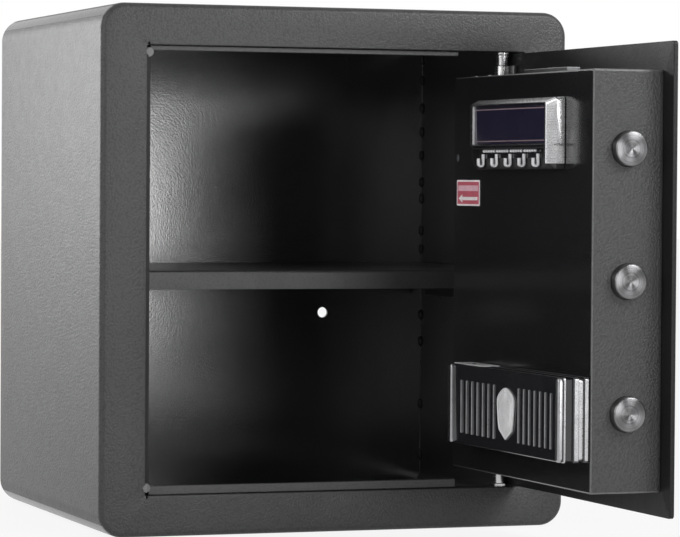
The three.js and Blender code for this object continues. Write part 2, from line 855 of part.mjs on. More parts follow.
// One strip with hooks that turn up at their free ends
function keyHookRail() {
  const back = controlFront - hookRecessDepth + seatGap;
  const bottom = controlZ[0] + hookRise;
  const centre = middle(controlX) + hookRailOffset;
  const hookX = (index) => centre + (index - (hookCount - 1) / 2) * hookPitch;
  const outerRadius = hookReach / 2;
  const innerRadius = outerRadius - hookStrip;
  const shape = new THREE.Shape();
  shape.moveTo(back, bottom + hookHeight);
  shape.lineTo(back, bottom + outerRadius);
  shape.absarc(back + outerRadius, bottom + outerRadius, outerRadius, Math.PI, 2 * Math.PI, false);
  shape.lineTo(back + hookReach, bottom + hookTipHeight);
  shape.lineTo(back + hookReach - hookStrip, bottom + hookTipHeight);
  shape.absarc(back + outerRadius, bottom + outerRadius, innerRadius, 2 * Math.PI, Math.PI, true);
  shape.lineTo(back + hookStrip, bottom + hookHeight);
  const hooks = Array.from({ length: hookCount }, (_, index) => (
    extruded(shape, 'x', around(hookX(index), hookWidth))));
  const strip = block(
    [hookX(0) - hookWidth, hookX(hookCount - 1) + hookWidth],
    [back, back + hookStrip],
    [bottom + hookHeight - hookStripHeight, bottom + hookHeight],
  );
  return joined(strip, ...hooks);
}

// Label and reset button
function arrowLabel() {
  const right = boxX[1] - labelFromBoxHinge;
  return block(
    [right - labelWidth, right],
    [onFace, onFace + labelThickness],
    around(labelCentreHeight, labelHeight),
  );
}

function resetButton() {
  const top = boxDepth - resetSunk;
  const flangeTop = boxInside - seatGap;
  return turned('y', [boxX[1] - resetFromBoxHinge, resetHeight], [
    [top - resetLength, top, resetDiameter / 2],
    [flangeTop - resetFlangeThickness, flangeTop, resetFlangeDiameter / 2],
  ], 24);
}

// Battery box
function batteryHousing() {
  const stepHeights = batteryBoxSteps.map((height) => onFace + height);
  const steps = stepHeights.map((start, index) => {
    const inset = index % 2 === 0 ? 0 : batteryBoxStep;
    const end = stepHeights[index + 1] ? stepHeights[index + 1] + lap : batteryBoxFront;
    return block(grown(batteryBoxX, -inset), [start, end], grown(batteryBoxZ, -inset));
  });
  const inset = batteryBoxStep + batteryBoxWall;
  const floor = batteryBoxFloor;
  const hollow = block(
    grown(batteryBoxX, -inset),
    [floor, batteryBoxFront + lap],
    grown(batteryBoxZ, -inset),
  );
  const [centreX, centreZ] = batteryBoxCentre;
  const cradleX = around(centreX, batteryColumnPitch + batteryLength + 2 * (batteryBoxWall + seatGap));
  const cradleTop = floor + batteryDiameter - cradleBelowBattery;
  const rowGap = batteryRowPitch - batteryDiameter - 2 * seatGap;
  const cradle = [-1, 0, 1].map((row) => block(
    cradleX,
    [floor - lap, cradleTop],
    around(centreZ + row * batteryRowPitch, rowGap),
  ));
  const ends = [cradleX[0], cradleX[1] - batteryBoxWall].map((start) => block(
    [start, start + batteryBoxWall],
    [floor - lap, cradleTop],
    around(centreZ, 2 * batteryRowPitch + rowGap),
  ));
  const leadHole = turned('y', [leadX, leadEnds()[0]], [
    [onFace - lap, floor + lap, leadDiameter / 2 + seatGap],
  ], 16);
  return cut(joined(cut(joined(...steps), hollow), ...cradle, ...ends), leadHole);
}

function battery(column, row) {
  const [centreX, centreZ] = batteryBoxCentre;
  const radius = batteryDiameter / 2;
  const x = around(centreX + column * batteryColumnPitch / 2, batteryLength);
  const y = batteryBoxFloor + seatGap + radius;
  return turned('x', [y, centreZ + row * batteryRowPitch / 2], [
    [x[0], x[1] - batteryTerminalLength, radius],
    [x[1] - batteryTerminalLength - lap, x[1], batteryTerminalDiameter / 2],
  ], 24);
}

// The lid's ends stand proud, and ribs on both sides of the middle give the finger its hold
function batteryLid() {
  const x = batteryBoxX;
  const z = grown(batteryBoxZ, -seatGap);
  const back = batteryBoxFront + seatGap;
  const front = back + lidThickness;
  const plate = block(x, [back, front], z);
  const ridges = [x[0], x[1] - lidRidgeWidth].map((start) => (
    block([start, start + lidRidgeWidth], [back, front + lidRidgeHeight], z)));
  const rib = (ribX) => extruded(
    roundedRect(around(ribX, lidRibWidth), around(emblemZ, lidRibLength), lidRibWidth / 2 - roundTrim),
    'y',
    [front - lap, front + lidRibHeight],
    1,
  );
  const lockSideRoom = emblemX - x[0] - lidRidgeWidth - lidRibsFromLockRidge;
  const hingeSideRoom = x[1] - lidRidgeWidth - lidRibsFromHingeRidge - emblemX;
  const ribs = [[-1, lockSideRoom], [1, hingeSideRoom]].flatMap(([side, room]) => {
    const count = 1 + Math.floor((room - lidRibsFromEmblem) / lidRibPitch);
    return Array.from({ length: count }, (_, index) => (
      rib(emblemX + side * (lidRibsFromEmblem + index * lidRibPitch))));
  });
  return joined(plate, ...ridges, ...ribs);
}

// A plain shield: an arched top, sides that draw in, and a point below
function lidEmblem() {
  const half = emblemWidth / 2;
  const low = emblemZ - emblemHeight / 2;
  const top = low + emblemHeight;
  const shoulder = low + emblemHeight * emblemShoulder;
  const hip = low + emblemHeight * emblemHip;
  const shape = new THREE.Shape();
  shape.moveTo(emblemX, low);
  shape.lineTo(emblemX + half * emblemHipWidth, hip);
  shape.lineTo(emblemX + half, shoulder);
  shape.quadraticCurveTo(emblemX + half * emblemArch, top, emblemX, top);
  shape.quadraticCurveTo(emblemX - half * emblemArch, top, emblemX - half, shoulder);
  shape.lineTo(emblemX - half * emblemHipWidth, hip);
  const back = batteryBoxFront + seatGap + lidThickness + seatGap;
  return extruded(shape, 'y', [back, back + emblemThickness]);
}

// Lead from the battery box to the control unit, inside the door
function leadEnds() {
  return [batteryBoxZ[1] - leadBelowBatteryBox, controlZ[0] + leadAboveControl];
}

function batteryLead() {
  const [low, high] = leadEnds();
  const straight = boxInside - leadStraight;
  const inside = straight - leadBend;
  const points = [
    [batteryBoxFloor, low], [boxInside, low], [straight, low], [inside, low + leadBend],
    [inside, (low + high) / 2],
    [inside, high - leadBend], [straight, high], [boxInside, high], [onFace + batteryBoxWall, high],
  ].map(([y, z]) => new THREE.Vector3(leadX, y, z));
  const section = new THREE.Shape();
  section.absarc(0, 0, leadDiameter / 2, 0, 2 * Math.PI, false);
  const geometry = new THREE.ExtrudeGeometry(section, {
    steps: 32,
    curveSegments: 4,
    extrudePath: new THREE.CatmullRomCurve3(points, false, 'catmullrom', 0.2),
  });
  return solid(geometry);
}

// Assembly
function mesh(name, body, material) {
  const { vertProperties, triVerts } = body.getMesh();
  const geometry = new THREE.BufferGeometry();
  geometry.setAttribute('position', new THREE.BufferAttribute(vertProperties, 3));
  geometry.setIndex(new THREE.BufferAttribute(triVerts, 1));
  geometry.computeVertexNormals();
  const piece = new THREE.Mesh(geometry, material);
  piece.name = name;
  return piece;
}

const cabinet = new THREE.Group().add(
  mesh('cabinet_shell', cabinetShell(), powderCoat),
  mesh('back_panel', backPanel(), powderCoat),
  mesh('door_stop_top', doorStop(openingZ[1] - seatGap - topStopHeight, topStopHeight), powderCoat),
  mesh('door_stop_bottom', doorStop(openingZ[0] + seatGap, bottomStopHeight), powderCoat),
  mesh('hinge_bush_top', hingeBush(true), brightSteel),
  mesh('hinge_bush_bottom', hingeBush(false), brightSteel),
  mesh('shelf', shelf(), powderCoat),
  mesh('shelf_rail_left', shelfRail(-1), darkCoat),
  mesh('shelf_rail_right', shelfRail(1), darkCoat),
);

const closedDoor = new THREE.Group().add(
  mesh('door_plate', doorPlate(), powderCoat),
  mesh('door_box', doorBox(), powderCoat),
  mesh('box_top_strip', topStrip(), plainSteel),
  mesh('hinge_bracket_top', hingeBracket(true), darkCoat),
  mesh('hinge_bracket_bottom', hingeBracket(false), darkCoat),
  mesh('hinge_pin_top', hingePin(true), brightSteel),
  mesh('hinge_pin_bottom', hingePin(false), brightSteel),
  mesh('bolt_guide_plate', boltGuidePlate(), plainSteel),
  mesh('bolt_carrier', boltCarrier(), plainSteel),
  mesh('bolt_bottom', bolt(boltHeights[0]), brightSteel),
  mesh('bolt_middle', bolt(boltHeights[1]), brightSteel),
  mesh('bolt_top', bolt(boltHeights[2]), brightSteel),
  mesh('guide_post_lower', guidePost(postHeights[0]), plainSteel),
  mesh('guide_post_upper', guidePost(postHeights[1]), plainSteel),
  mesh('crank', crank(), plainSteel),
  mesh('handle_spindle', handleSpindle(), plainSteel),
  mesh('handle_rose', handleRose(), chrome),
  mesh('handle_knob', handleKnob(), chrome),
  mesh('solenoid_body', solenoidBody(), plainSteel),
  mesh('solenoid_plunger', solenoidPlunger(), brightSteel),
  mesh('override_lock_body', overrideLockBody(), plainSteel),
  mesh('override_cylinder', overrideCylinder(), brightSteel),
  mesh('keyhole_cover', keyholeCover(), chrome),
  mesh('keypad_housing', keypadHousing(), blackPlastic),
  mesh('display_lens', displayLens(), windowBlue),
  ...keyPlaces.map((place) => mesh(place.name, key(place), keyGrey)),
  mesh('control_housing', controlHousing(), blackGloss),
  mesh('control_window', block(...windowPlace(0)), windowBlue),
  mesh('control_board', controlBoard(), boardGreen),
  mesh('key_hook_rail', keyHookRail(), chrome),
  mesh('arrow_label', arrowLabel(), labelRed),
  mesh('reset_button', resetButton(), keyGrey),
  mesh('battery_housing', batteryHousing(), blackGloss),
  mesh('battery_lid', batteryLid(), blackGloss),
  mesh('lid_emblem', lidEmblem(), chrome),
  mesh('battery_1', battery(-1, -1), batteryCase),
  mesh('battery_2', battery(1, -1), batteryCase),
  mesh('battery_3', battery(-1, 1), batteryCase),
  mesh('battery_4', battery(1, 1), batteryCase),
  mesh('battery_lead', batteryLead(), leadRed),
);
closedDoor.position.set(-hinge[0], -hinge[1], 0);

const door = new THREE.Group().add(closedDoor);
door.position.set(hinge[0], hinge[1], 0);
door.rotation.z = THREE.MathUtils.degToRad(doorAngle);

const homeSafe = new THREE.Group().add(cabinet, door);
homeSafe.position.set(-cabinetWidth / 2, -cabinetDepth / 2, 0);

export default homeSafe;
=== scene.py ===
import json
from math import cos, pi, radians, sin, tau

import bmesh
import bpy
from mathutils import Matrix, Vector

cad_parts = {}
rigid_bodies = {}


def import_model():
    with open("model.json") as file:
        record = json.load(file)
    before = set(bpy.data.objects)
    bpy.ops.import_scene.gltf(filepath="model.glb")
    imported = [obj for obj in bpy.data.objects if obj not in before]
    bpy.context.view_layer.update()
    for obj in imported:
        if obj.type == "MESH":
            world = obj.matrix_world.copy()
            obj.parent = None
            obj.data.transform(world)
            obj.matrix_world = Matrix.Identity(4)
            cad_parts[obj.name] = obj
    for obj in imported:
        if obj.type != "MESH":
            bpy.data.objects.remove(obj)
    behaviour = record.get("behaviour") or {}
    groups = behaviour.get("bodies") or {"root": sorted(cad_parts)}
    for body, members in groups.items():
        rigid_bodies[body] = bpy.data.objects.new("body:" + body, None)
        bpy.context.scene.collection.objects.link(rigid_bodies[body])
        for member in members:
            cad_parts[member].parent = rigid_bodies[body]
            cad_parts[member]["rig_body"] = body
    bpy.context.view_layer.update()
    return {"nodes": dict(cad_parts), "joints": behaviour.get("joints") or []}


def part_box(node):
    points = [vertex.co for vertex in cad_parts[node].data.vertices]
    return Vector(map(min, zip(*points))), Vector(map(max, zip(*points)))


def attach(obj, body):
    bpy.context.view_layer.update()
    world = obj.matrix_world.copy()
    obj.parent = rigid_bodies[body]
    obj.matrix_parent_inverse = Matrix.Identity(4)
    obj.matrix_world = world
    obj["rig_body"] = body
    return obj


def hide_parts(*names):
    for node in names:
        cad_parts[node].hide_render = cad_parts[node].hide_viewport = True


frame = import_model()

# Frames
MM = 0.001
SWING = next(joint for joint in frame["joints"] if joint["name"] == "door_swing")
PIN = Vector(SWING["pos_m"])
OPENED = radians(-SWING["range_deg"][0])
ABOUT_PIN = Matrix.Translation(PIN) @ Matrix.Rotation(OPENED, 4, "Z") @ Matrix.Translation(-PIN)
CABINET = Matrix.Translation(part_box("cabinet_shell")[0]) @ Matrix.Scale(MM, 4)
DOOR = ABOUT_PIN @ CABINET
HINGE = tuple((CABINET.inverted() @ PIN)[:2])


def body_of(node):
    return frame["nodes"][node]["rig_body"]


def place_of(node):
    """The matrix from a node's own millimetres to the shared frame."""
    return CABINET if body_of(node) == "cabinet" else DOOR


def spans(node):
    """A node's extent along x, y and z, in millimetres."""
    inverse = place_of(node).inverted()
    points = [inverse @ vertex.co for vertex in frame["nodes"][node].data.vertices]
    return [(min(p[i] for p in points), max(p[i] for p in points)) for i in range(3)]


def middle(span):
    return (span[0] + span[1]) / 2


def half(span):
    return (span[1] - span[0]) / 2


def grown(span, by):
    return (span[0] - by, span[1] + by)


def around(centre, size):
    return (centre - size / 2, centre + size / 2)


def within(value, span, slack=0.1):
    return span[0] - slack < value < span[1] + slack


def front_centre(node):
    """The middle of a node as it is seen from the front."""
    x, _, z = spans(node)
    return (middle(x), middle(z))


# Solids, each a list of points and a list of faces
LAP = 1
REACH = 5
LEAST_CORNER = 0.05
LEAST_RADIUS = 0.02


def loft(rings, endless=False):
    """Rings of equally many points, each joined to the next."""
    count = len(rings[0])
    points = [tuple(point) for ring in rings for point in ring]
    faces = []
    for turn in range(len(rings) - (0 if endless else 1)):
        here = turn * count
        there = (turn + 1) % len(rings) * count
        for i in range(count):
            j = (i + 1) % count
            faces.append((here + i, here + j, there + j, there + i))
    if not endless:
        faces.append(tuple(range(count)))
        faces.append(tuple(range(len(points) - count, len(points))))
    return points, faces


def at(axis, along, a, b):
    """A point from its place along an axis and across it, in the other two axes' order."""
    return {"x": (along, a, b), "y": (a, along, b), "z": (a, b, along)}[axis]


def layer(axis, along, outline):
    return [at(axis, along, a, b) for a, b in outline]


def circle(centre, radius, sides):
    turns = [tau * i / sides for i in range(sides)]
    return [(centre[0] + radius * cos(turn), centre[1] + radius * sin(turn)) for turn in turns]


def arc(centre, radius, start, end, steps=12):
    """Points on a circle, by angles in degrees."""
    turns = [radians(start + (end - start) * i / steps) for i in range(steps + 1)]
    return [(centre[0] + radius * cos(turn), centre[1] + radius * sin(turn)) for turn in turns]


def rounded(across, up, radius, steps=6):
    """The outline of a rectangle with round corners."""
    outline = []
    for corner in range(4):
        a = across[1] - radius if corner < 2 else across[0] + radius
        b = up[1] - radius if corner in (1, 2) else up[0] + radius
        for step in range(steps + 1):
            turn = pi / 2 * (corner - 1 + step / steps)
            outline.append((a + radius * cos(turn), b + radius * sin(turn)))
    return outline


def edge_steps(radius, steps=5):
    """Insets and rises of a quarter round, from the side to the face."""
    turns = [pi / 2 * i / steps for i in range(steps + 1)]
    return [(radius * (1 - cos(turn)), radius * sin(turn)) for turn in turns]


def prism(axis, along, outline):
    return loft([layer(axis, place, outline) for place in along])


def block(x, y, z):
    return prism("x", x, [(y[0], z[0]), (y[1], z[0]), (y[1], z[1]), (y[0], z[1])])


def block_about(axis, centre, along, across, up):
    """A block from its centre across an axis and its reach along it."""
    return block(*at(axis, along, around(centre[0], across), around(centre[1], up)))


def slab(axis, along, across, up, radius=0.5, edges=(0, 0), steps=6):
    """A block with round corners about the axis and a quarter round at each end."""
    low, high = edges
    starts = [(0, along[0])]
    if low:
        starts = [(inset, along[0] + low - rise) for inset, rise in reversed(edge_steps(low))]
    ends = [(0, along[1])]
    if high:
        ends = [(inset, along[1] - high + rise) for inset, rise in edge_steps(high)]
    rings = []
    for inset, place in starts + ends:
        corner = max(radius - inset, LEAST_CORNER)
        rings.append(layer(axis, place, rounded(grown(across, -inset), grown(up, -inset), corner, steps)))
    return loft(rings)


def band(axis, along, across, up, wall, radius, edge, inner_corner=0.2):
    """A rectangular ring with round corners, hollow along the axis."""
    inner = rounded(grown(across, -wall), grown(up, -wall), max(radius - wall, inner_corner))
    eased = rounded(grown(across, -edge), grown(up, -edge), radius)
    outer = rounded(across, up, radius)
    levels = [(along[0], inner), (along[0], eased), (along[0] + edge, outer)]
    levels += [(along[1] - edge, outer), (along[1], eased), (along[1], inner)]
    return loft([layer(axis, place, outline) for place, outline in levels], endless=True)


def directions(points):
    """The unit direction of a path at each of its points."""
    last = len(points) - 1
    return [(points[min(i + 1, last)] - points[max(i - 1, 0)]).normalized() for i in range(last + 1)]


def strip(x, path, thickness):
    """A flat strip of round edges that follows a path in y and z."""
    points = [Vector(point) for point in path]
    outline = rounded(x, around(0, thickness), thickness * 0.35, 3)
    rings = []
    for point, ahead in zip(points, directions(points)):
        side = Vector((-ahead.y, ahead.x))
        rings.append([(a, point.x + side.x * b, point.y + side.y * b) for a, b in outline])
    return loft(rings)


def tube(path, radii, sides):
    """A round bar along a path, with a radius for each of its points."""
    points = [Vector(point) for point in path]
    turns = [tau * i / sides for i in range(sides)]
    across = None
    rings = []
    for point, radius, ahead in zip(points, radii, directions(points)):
        across = ahead.orthogonal() if across is None else across - across.project(ahead)
        across.normalize()
        side = ahead.cross(across)
        rings.append([point + radius * (cos(turn) * across + sin(turn) * side) for turn in turns])
    return loft(rings)


def lathe(axis, centre, profile, sides=64):
    """A round solid from places along the axis with the radius at each."""
    rings = []
    for along, radius in profile:
        rings.append(layer(axis, along, circle(centre, max(radius, LEAST_RADIUS), sides)))
    return loft(rings)


def drill(axis, centre, along, radius, sides=64):
    """A round bar that cuts a hole."""
    return lathe(axis, centre, [(along[0], radius), (along[1], radius)], sides)


def dome(axis, centre, along, radius, sides=24, steps=6):
    """A low round head that rises from along[0] to along[1]."""
    rise = along[1] - along[0]
    turns = [pi / 2 * i / steps for i in range(steps + 1)]
    return lathe(axis, centre, [(along[0] + rise * sin(turn), radius * cos(turn)) for turn in turns], sides)


def together(*solids):
    """Several solids in one mesh."""
    points, faces = [], []
    for more_points, more_faces in solids:
        start = len(points)
        points += more_points
        faces += [tuple(start + i for i in face) for face in more_faces]
    return points, faces


def closed_mesh(solid):
    """A solid as a mesh whose faces all look outwards."""
    mesh = bpy.data.meshes.new("solid")
    mesh.from_pydata([tuple(point) for point in solid[0]], [], solid[1])
    work = bmesh.new()
    work.from_mesh(mesh)
    bmesh.ops.recalc_face_normals(work, faces=work.faces)
    work.to_mesh(mesh)
    work.free()
    return mesh


def in_scene(name, data):
    """A new object of the scene."""
    thing = bpy.data.objects.new(name, data)
    bpy.context.scene.collection.objects.link(thing)
    return thing


def result_of(thing):
    """The solid that an object's curve or modifiers make."""
    evaluated = thing.evaluated_get(bpy.context.evaluated_depsgraph_get())
    mesh = evaluated.to_mesh()
    points = [tuple(vertex.co) for vertex in mesh.vertices]
    faces = [tuple(polygon.vertices) for polygon in mesh.polygons]
    evaluated.to_mesh_clear()
    return points, faces


def combined(operation, whole, *tools):
    """A boolean of one solid with others."""
    made = [in_scene("solid", closed_mesh(solid)) for solid in (whole, *tools)]
    for tool in made[1:]:
        modifier = made[0].modifiers.new("boolean", "BOOLEAN")
        modifier.operation = operation
        modifier.solver = "EXACT"
        modifier.object = tool
    points, faces = result_of(made[0])
    for thing in made:
        mesh = thing.data
        bpy.data.objects.remove(thing)
        bpy.data.meshes.remove(mesh)
    return points, faces


def cut(whole, *tools):
    return combined("DIFFERENCE", whole, *tools)


def fused(whole, *more):
    return combined("UNION", whole, *more)


def copied(node):
    """A node's own solid, its flat faces made whole again."""
    work = bmesh.new()
    work.from_mesh(frame["nodes"][node].data)
    work.transform(place_of(node).inverted())
    bmesh.ops.remove_doubles(work, verts=work.verts, dist=0.005)
    bmesh.ops.dissolve_limit(
        work, angle_limit=radians(1), verts=work.verts, edges=work.edges, use_dissolve_boundaries=False
    )
    points = [tuple(vertex.co) for vertex in work.verts]
    work.verts.index_update()
    faces = [tuple(vertex.index for vertex in face.verts) for face in work.faces]
    work.free()
    return points, faces


def lettering(words, height, centre, front, thickness):
    """Raised figures that read from the front of the door."""
    curve = bpy.data.curves.new("figures", "FONT")
    curve.body = words
    curve.size = height
    curve.align_x = "CENTER"
    curve.align_y = "CENTER"
    curve.extrude = thickness / 2
    curve.resolution_u = 4
    thing = in_scene("figures", curve)
    points, faces = result_of(thing)
    bpy.data.objects.remove(thing)
    bpy.data.curves.remove(curve)
    return [(centre[0] + a, front - c, centre[1] + b) for a, b, c in points], faces


# Pieces
BEVEL_FROM = radians(30)


def piece(name, solid, finishes, slot, like, replaced=(), bevel=0.0, segments=3, paint=None, sharp=35):
    """Makes an object of a solid, in the frame and on the body of the node that it is like.

    paint gives the number of a face's finish from its centre and its normal, and sharp is the
    angle in degrees from which an edge without a bevel is drawn hard.
    """
    mesh = closed_mesh(solid)
    mesh.name = name
    for finish in finishes if isinstance(finishes, list) else [finishes]:
        mesh.materials.append(finish)
    if paint:
        for polygon in mesh.polygons:
            polygon.material_index = paint(polygon.center, polygon.normal)
    mesh.transform(place_of(like))
    mesh.shade_smooth()
    thing = in_scene(name, mesh)
    if bevel:
        rounding = thing.modifiers.new("edges", "BEVEL")
        rounding.width = bevel * MM
        rounding.segments = segments
        rounding.limit_method = "ANGLE"
        rounding.angle_limit = BEVEL_FROM
        rounding.harden_normals = True
        normals = thing.modifiers.new("normals", "WEIGHTED_NORMAL")
        normals.keep_sharp = True
    else:
        mesh.set_sharp_from_angle(angle=radians(sharp))
    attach(thing, body_of(like))
    if replaced:
        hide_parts(*replaced)


def refined(node, finish, slot, bevel):
    """A node's own shape with its edges rounded."""
    piece(node + "_fine", copied(node), finish, slot, node, (node,), bevel)


SLOT_DEPTH = 0.45
SLOT_LENGTH = 2.4
SLOT_WIDTH = 0.3


def screw(centre, along, radius, name, finish, slot, like, axis="y"):
    """A low round head with a slot across it, sized as shares of the head."""
    deep = (along[1] - along[0]) * SLOT_DEPTH
    across = (along[1] - deep, along[1] + LAP)
    slit = block_about(axis, centre, across, radius * SLOT_LENGTH, radius * SLOT_WIDTH)
    piece(name, cut(dome(axis, centre, along, radius), slit), finish, slot, like)


# Materials
def socket_of(word):
    return word.replace("_", " ").title().replace("Ior", "IOR")


def feed(tree, socket, source):
    """Links another node's output to a socket, or sets the socket to a value or a colour."""
    if isinstance(source, bpy.types.NodeSocket):
        tree.links.new(source, socket)
    else:
        socket.default_value = (*source, 1) if socket.type == "RGBA" else source


def new_node(tree, kind, inputs=(), **settings):
    """A new node, each input given as another node's output or as a value."""
    made = tree.nodes.new("ShaderNode" + kind)
    for setting, value in settings.items():
        setattr(made, setting, value)
    for socket, source in dict(inputs).items():
        feed(tree, made.inputs[socket], source)
    return made


def main_shader(material):
    """The shader that a new material with nodes starts with."""
    return next(node for node in material.node_tree.nodes if node.type == "BSDF_PRINCIPLED")


def shade(colour, factor):
    return tuple(min(1, channel * factor) for channel in colour)


class Finish:
    """A procedural material and the nodes that make it."""

    def __init__(self, name, colour, **sockets):
        self.material = bpy.data.materials.new(name)
        self.material.use_nodes = True
        self.material.diffuse_color = (*colour, 1)
        self.tree = self.material.node_tree
        self.shader = main_shader(self.material)
        self.use(base_color=colour, **sockets)
        self.place = self.node("TexCoord").outputs["Object"]
        self.box = self.place.node.outputs["Generated"]

    def node(self, kind, inputs=(), **settings):
        return new_node(self.tree, kind, inputs, **settings)

    def noise(self, size, detail, roughness=0.5, stretch=None):
        """Soft noise whose features are about that many millimetres across."""
        vector = self.place
        if stretch:
            vector = self.node("Mapping", {"Vector": vector, "Scale": stretch}).outputs[0]
        inputs = {"Vector": vector, "Scale": 1 / (size * MM), "Detail": detail, "Roughness": roughness}
        return self.node("TexNoise", inputs).outputs["Fac"]

    def cells(self, size, smoothness=0.4):
        """Distances from the middles of soft cells, about that many millimetres across."""
        inputs = {"Vector": self.place, "Scale": 1 / (size * MM), "Smoothness": smoothness}
        return self.node("TexVoronoi", inputs, feature="SMOOTH_F1").outputs["Distance"]

    def ranged(self, value, low, high, new_low, new_high):
        inputs = {"Value": value, "From Min": low, "From Max": high, "To Min": new_low, "To Max": new_high}
        return self.node("MapRange", inputs).outputs[0]

    def maths(self, operation, a, b):
        return self.node("Math", {0: a, 1: b}, operation=operation).outputs[0]

    def between(self, factor, first, second):
        """A colour between two, by a factor from 0 to 1."""
        return self.node("Mix", {"Factor": factor, 6: first, 7: second}, data_type="RGBA").outputs[2]

    def drifting(self, noise, first, second):
        """A colour that drifts between two with a noise."""
        return self.between(self.ranged(noise, 0.3, 0.7, 0, 1), first, second)

    def scuffed(self, noise, roughness):
        """A roughness that varies with a noise."""
        return self.ranged(noise, 0.3, 0.7, roughness * 0.75, roughness * 1.3)

    def bump(self, height, depth):
        """A bump whose full height is that many millimetres."""
        inputs = {"Height": height, "Distance": depth * MM, "Strength": 1.0}
        return self.node("Bump", inputs).outputs[0]

    def use(self, **sources):
        """Gives the shader's sockets, named with underscores, what they show."""
        for word, source in sources.items():
            feed(self.tree, self.shader.inputs[socket_of(word)], source)
        return self.material


def coat(name, colour, roughness, cell, depth, ior=1.5, spread=0.03):
    """Leather-grain powder coat: pebbles with finer grain on them, and painted shade darkening the gaps
    between the pebbles.
    """
    finish = Finish(name, colour, ior=ior)
    pebbles = finish.ranged(finish.cells(cell), 0.1, 0.75, 1, 0)
    fine = finish.maths("MULTIPLY", finish.noise(cell * 0.45, 3, 0.6), 0.6)
    grain = finish.maths("ADD", pebbles, fine)
    tone = finish.drifting(finish.noise(55, 3), shade(colour, 0.95), shade(colour, 1.05))
    # Painted shade: the gaps between the pebbles are drawn darker
    tone = finish.between(finish.ranged(pebbles, 0, 0.35, 0.5, 0), tone, shade(colour, 0.45))
    rough = finish.ranged(finish.noise(9, 3), 0.25, 0.75, roughness - spread, roughness + spread)
    return finish.use(base_color=tone, roughness=rough, normal=finish.bump(grain, depth))


def brushed(name, colour, roughness, stretch, depth=0.01):
    """Metal with fine lines along one direction."""
    finish = Finish(name, colour, metallic=1.0)
    lines = finish.noise(0.5, 3, 0.6, stretch)
    tone = finish.drifting(finish.noise(12, 3), shade(colour, 0.85), shade(colour, 1.08))
    rough = finish.scuffed(lines, roughness)
    return finish.use(base_color=tone, roughness=rough, normal=finish.bump(lines, depth))


def moulded(name, colour, roughness, grain, depth, coat_weight=0.0):
    """Moulded plastic, paint or print with a fine grain and handling marks."""
    finish = Finish(name, colour, coat_weight=coat_weight)
    fine = finish.noise(grain, 3, 0.6)
    marks = finish.noise(14, 4, 0.65)
    tone = finish.drifting(marks, shade(colour, 0.85), shade(colour, 1.15))
    rough = finish.scuffed(marks, roughness)
    return finish.use(base_color=tone, roughness=rough, normal=finish.bump(fine, depth))


def turned_steel():
    """A lathe-turned end: fine rings round the axis, which streak the highlight."""
    dark, light = (0.12, 0.12, 0.122), (0.2, 0.2, 0.205)
    finish = Finish(
        "turned_steel", (0.16, 0.16, 0.165), metallic=1.0, anisotropic=0.9, anisotropic_rotation=0.25
    )
    centred = finish.node("VectorMath", {0: finish.box, 1: (0.5, 0.5, 0.5)}, operation="SUBTRACT").outputs[0]
    flat = finish.node("VectorMath", {0: centred, 1: (1, 0, 1)}, operation="MULTIPLY").outputs[0]
    from_axis = finish.node("VectorMath", {0: flat}, operation="LENGTH").outputs["Value"]
    noise = finish.node("TexNoise", {"W": from_axis, "Scale": 22.0, "Detail": 4.0}, noise_dimensions="1D")
    rings = noise.outputs["Fac"]
    rough = finish.ranged(rings, 0.3, 0.7, 0.27, 0.34)
    tangent = finish.node("Tangent", direction_type="RADIAL", axis="Y").outputs[0]
    return finish.use(base_color=finish.drifting(rings, dark, light), roughness=rough, tangent=tangent)


OUTSIDE_COAT = coat("outside_coat", (0.036, 0.036, 0.0372), 0.42, 1.9, 0.15, 1.4)
# Painted shade: the same paint as the outside coat, drawn darker for the inside, and glossier
SHADED_INSIDE_COAT = coat("shaded_inside_coat", (0.03, 0.03, 0.031), 0.24, 1.9, 0.034, 2.0)
# Painted sheen: the shelf's top drawn lighter than the shelf coat, for the reflection it catches
SHELF_TOP_SHEEN_COAT = coat("shelf_top_sheen_coat", (0.06, 0.06, 0.061), 0.3, 1.9, 0.034, 2.0)
SHELF_COAT = coat("shelf_coat", (0.03, 0.03, 0.031), 0.42, 2.0, 0.05)
# Painted shade: a darker, glossier copy of the coat for the door box's inner face
SHADED_FACE_COAT = coat("shaded_face_coat", (0.008, 0.008, 0.009), 0.17, 2.2, 0.025, 2.0)
# Painted highlight: a lighter copy of the coat for the door box's lock-side edges
EDGE_HIGHLIGHT_COAT = coat("painted_edge_highlight", (0.1, 0.1, 0.102), 0.36, 2.0, 0.05)
# Painted shade: a much darker copy of the coat, for the lock-side return and the door plate's inner face
SHADE_COAT = coat("painted_shade_coat", (0.01, 0.01, 0.0105), 0.45, 2.0, 0.05, 1.3)
TURNED_STEEL = turned_steel()
BAND_CHROME = brushed("band_chrome", (0.46, 0.46, 0.47), 0.3, (0.6, 0.6, 0.6), 0.0015)
DULL_CHROME = brushed("dull_chrome", (0.36, 0.36, 0.37), 0.32, (0.6, 0.6, 0.6), 0.0015)
SATIN_CHROME = brushed("satin_chrome", (0.6, 0.6, 0.61), 0.26, (0.6, 0.6, 0.6), 0.0015)
CHROME = brushed("chrome", (0.78, 0.79, 0.8), 0.1, (1, 1, 0.3), 0.002)
DARK_STEEL = brushed("dark_steel", (0.16, 0.16, 0.165), 0.4, (1, 1, 0.08))
PLATED_STEEL = brushed("plated_steel", (0.42, 0.42, 0.43), 0.34, (1, 1, 0.08))
PIN_STEEL = brushed("pin_steel", (0.6, 0.6, 0.6), 0.25, (0.1, 0.1, 1))
BRIGHT_NICKEL = moulded("bright_nickel", (0.8, 0.8, 0.82), 0.2, 0.6, 0.002, 0.6)
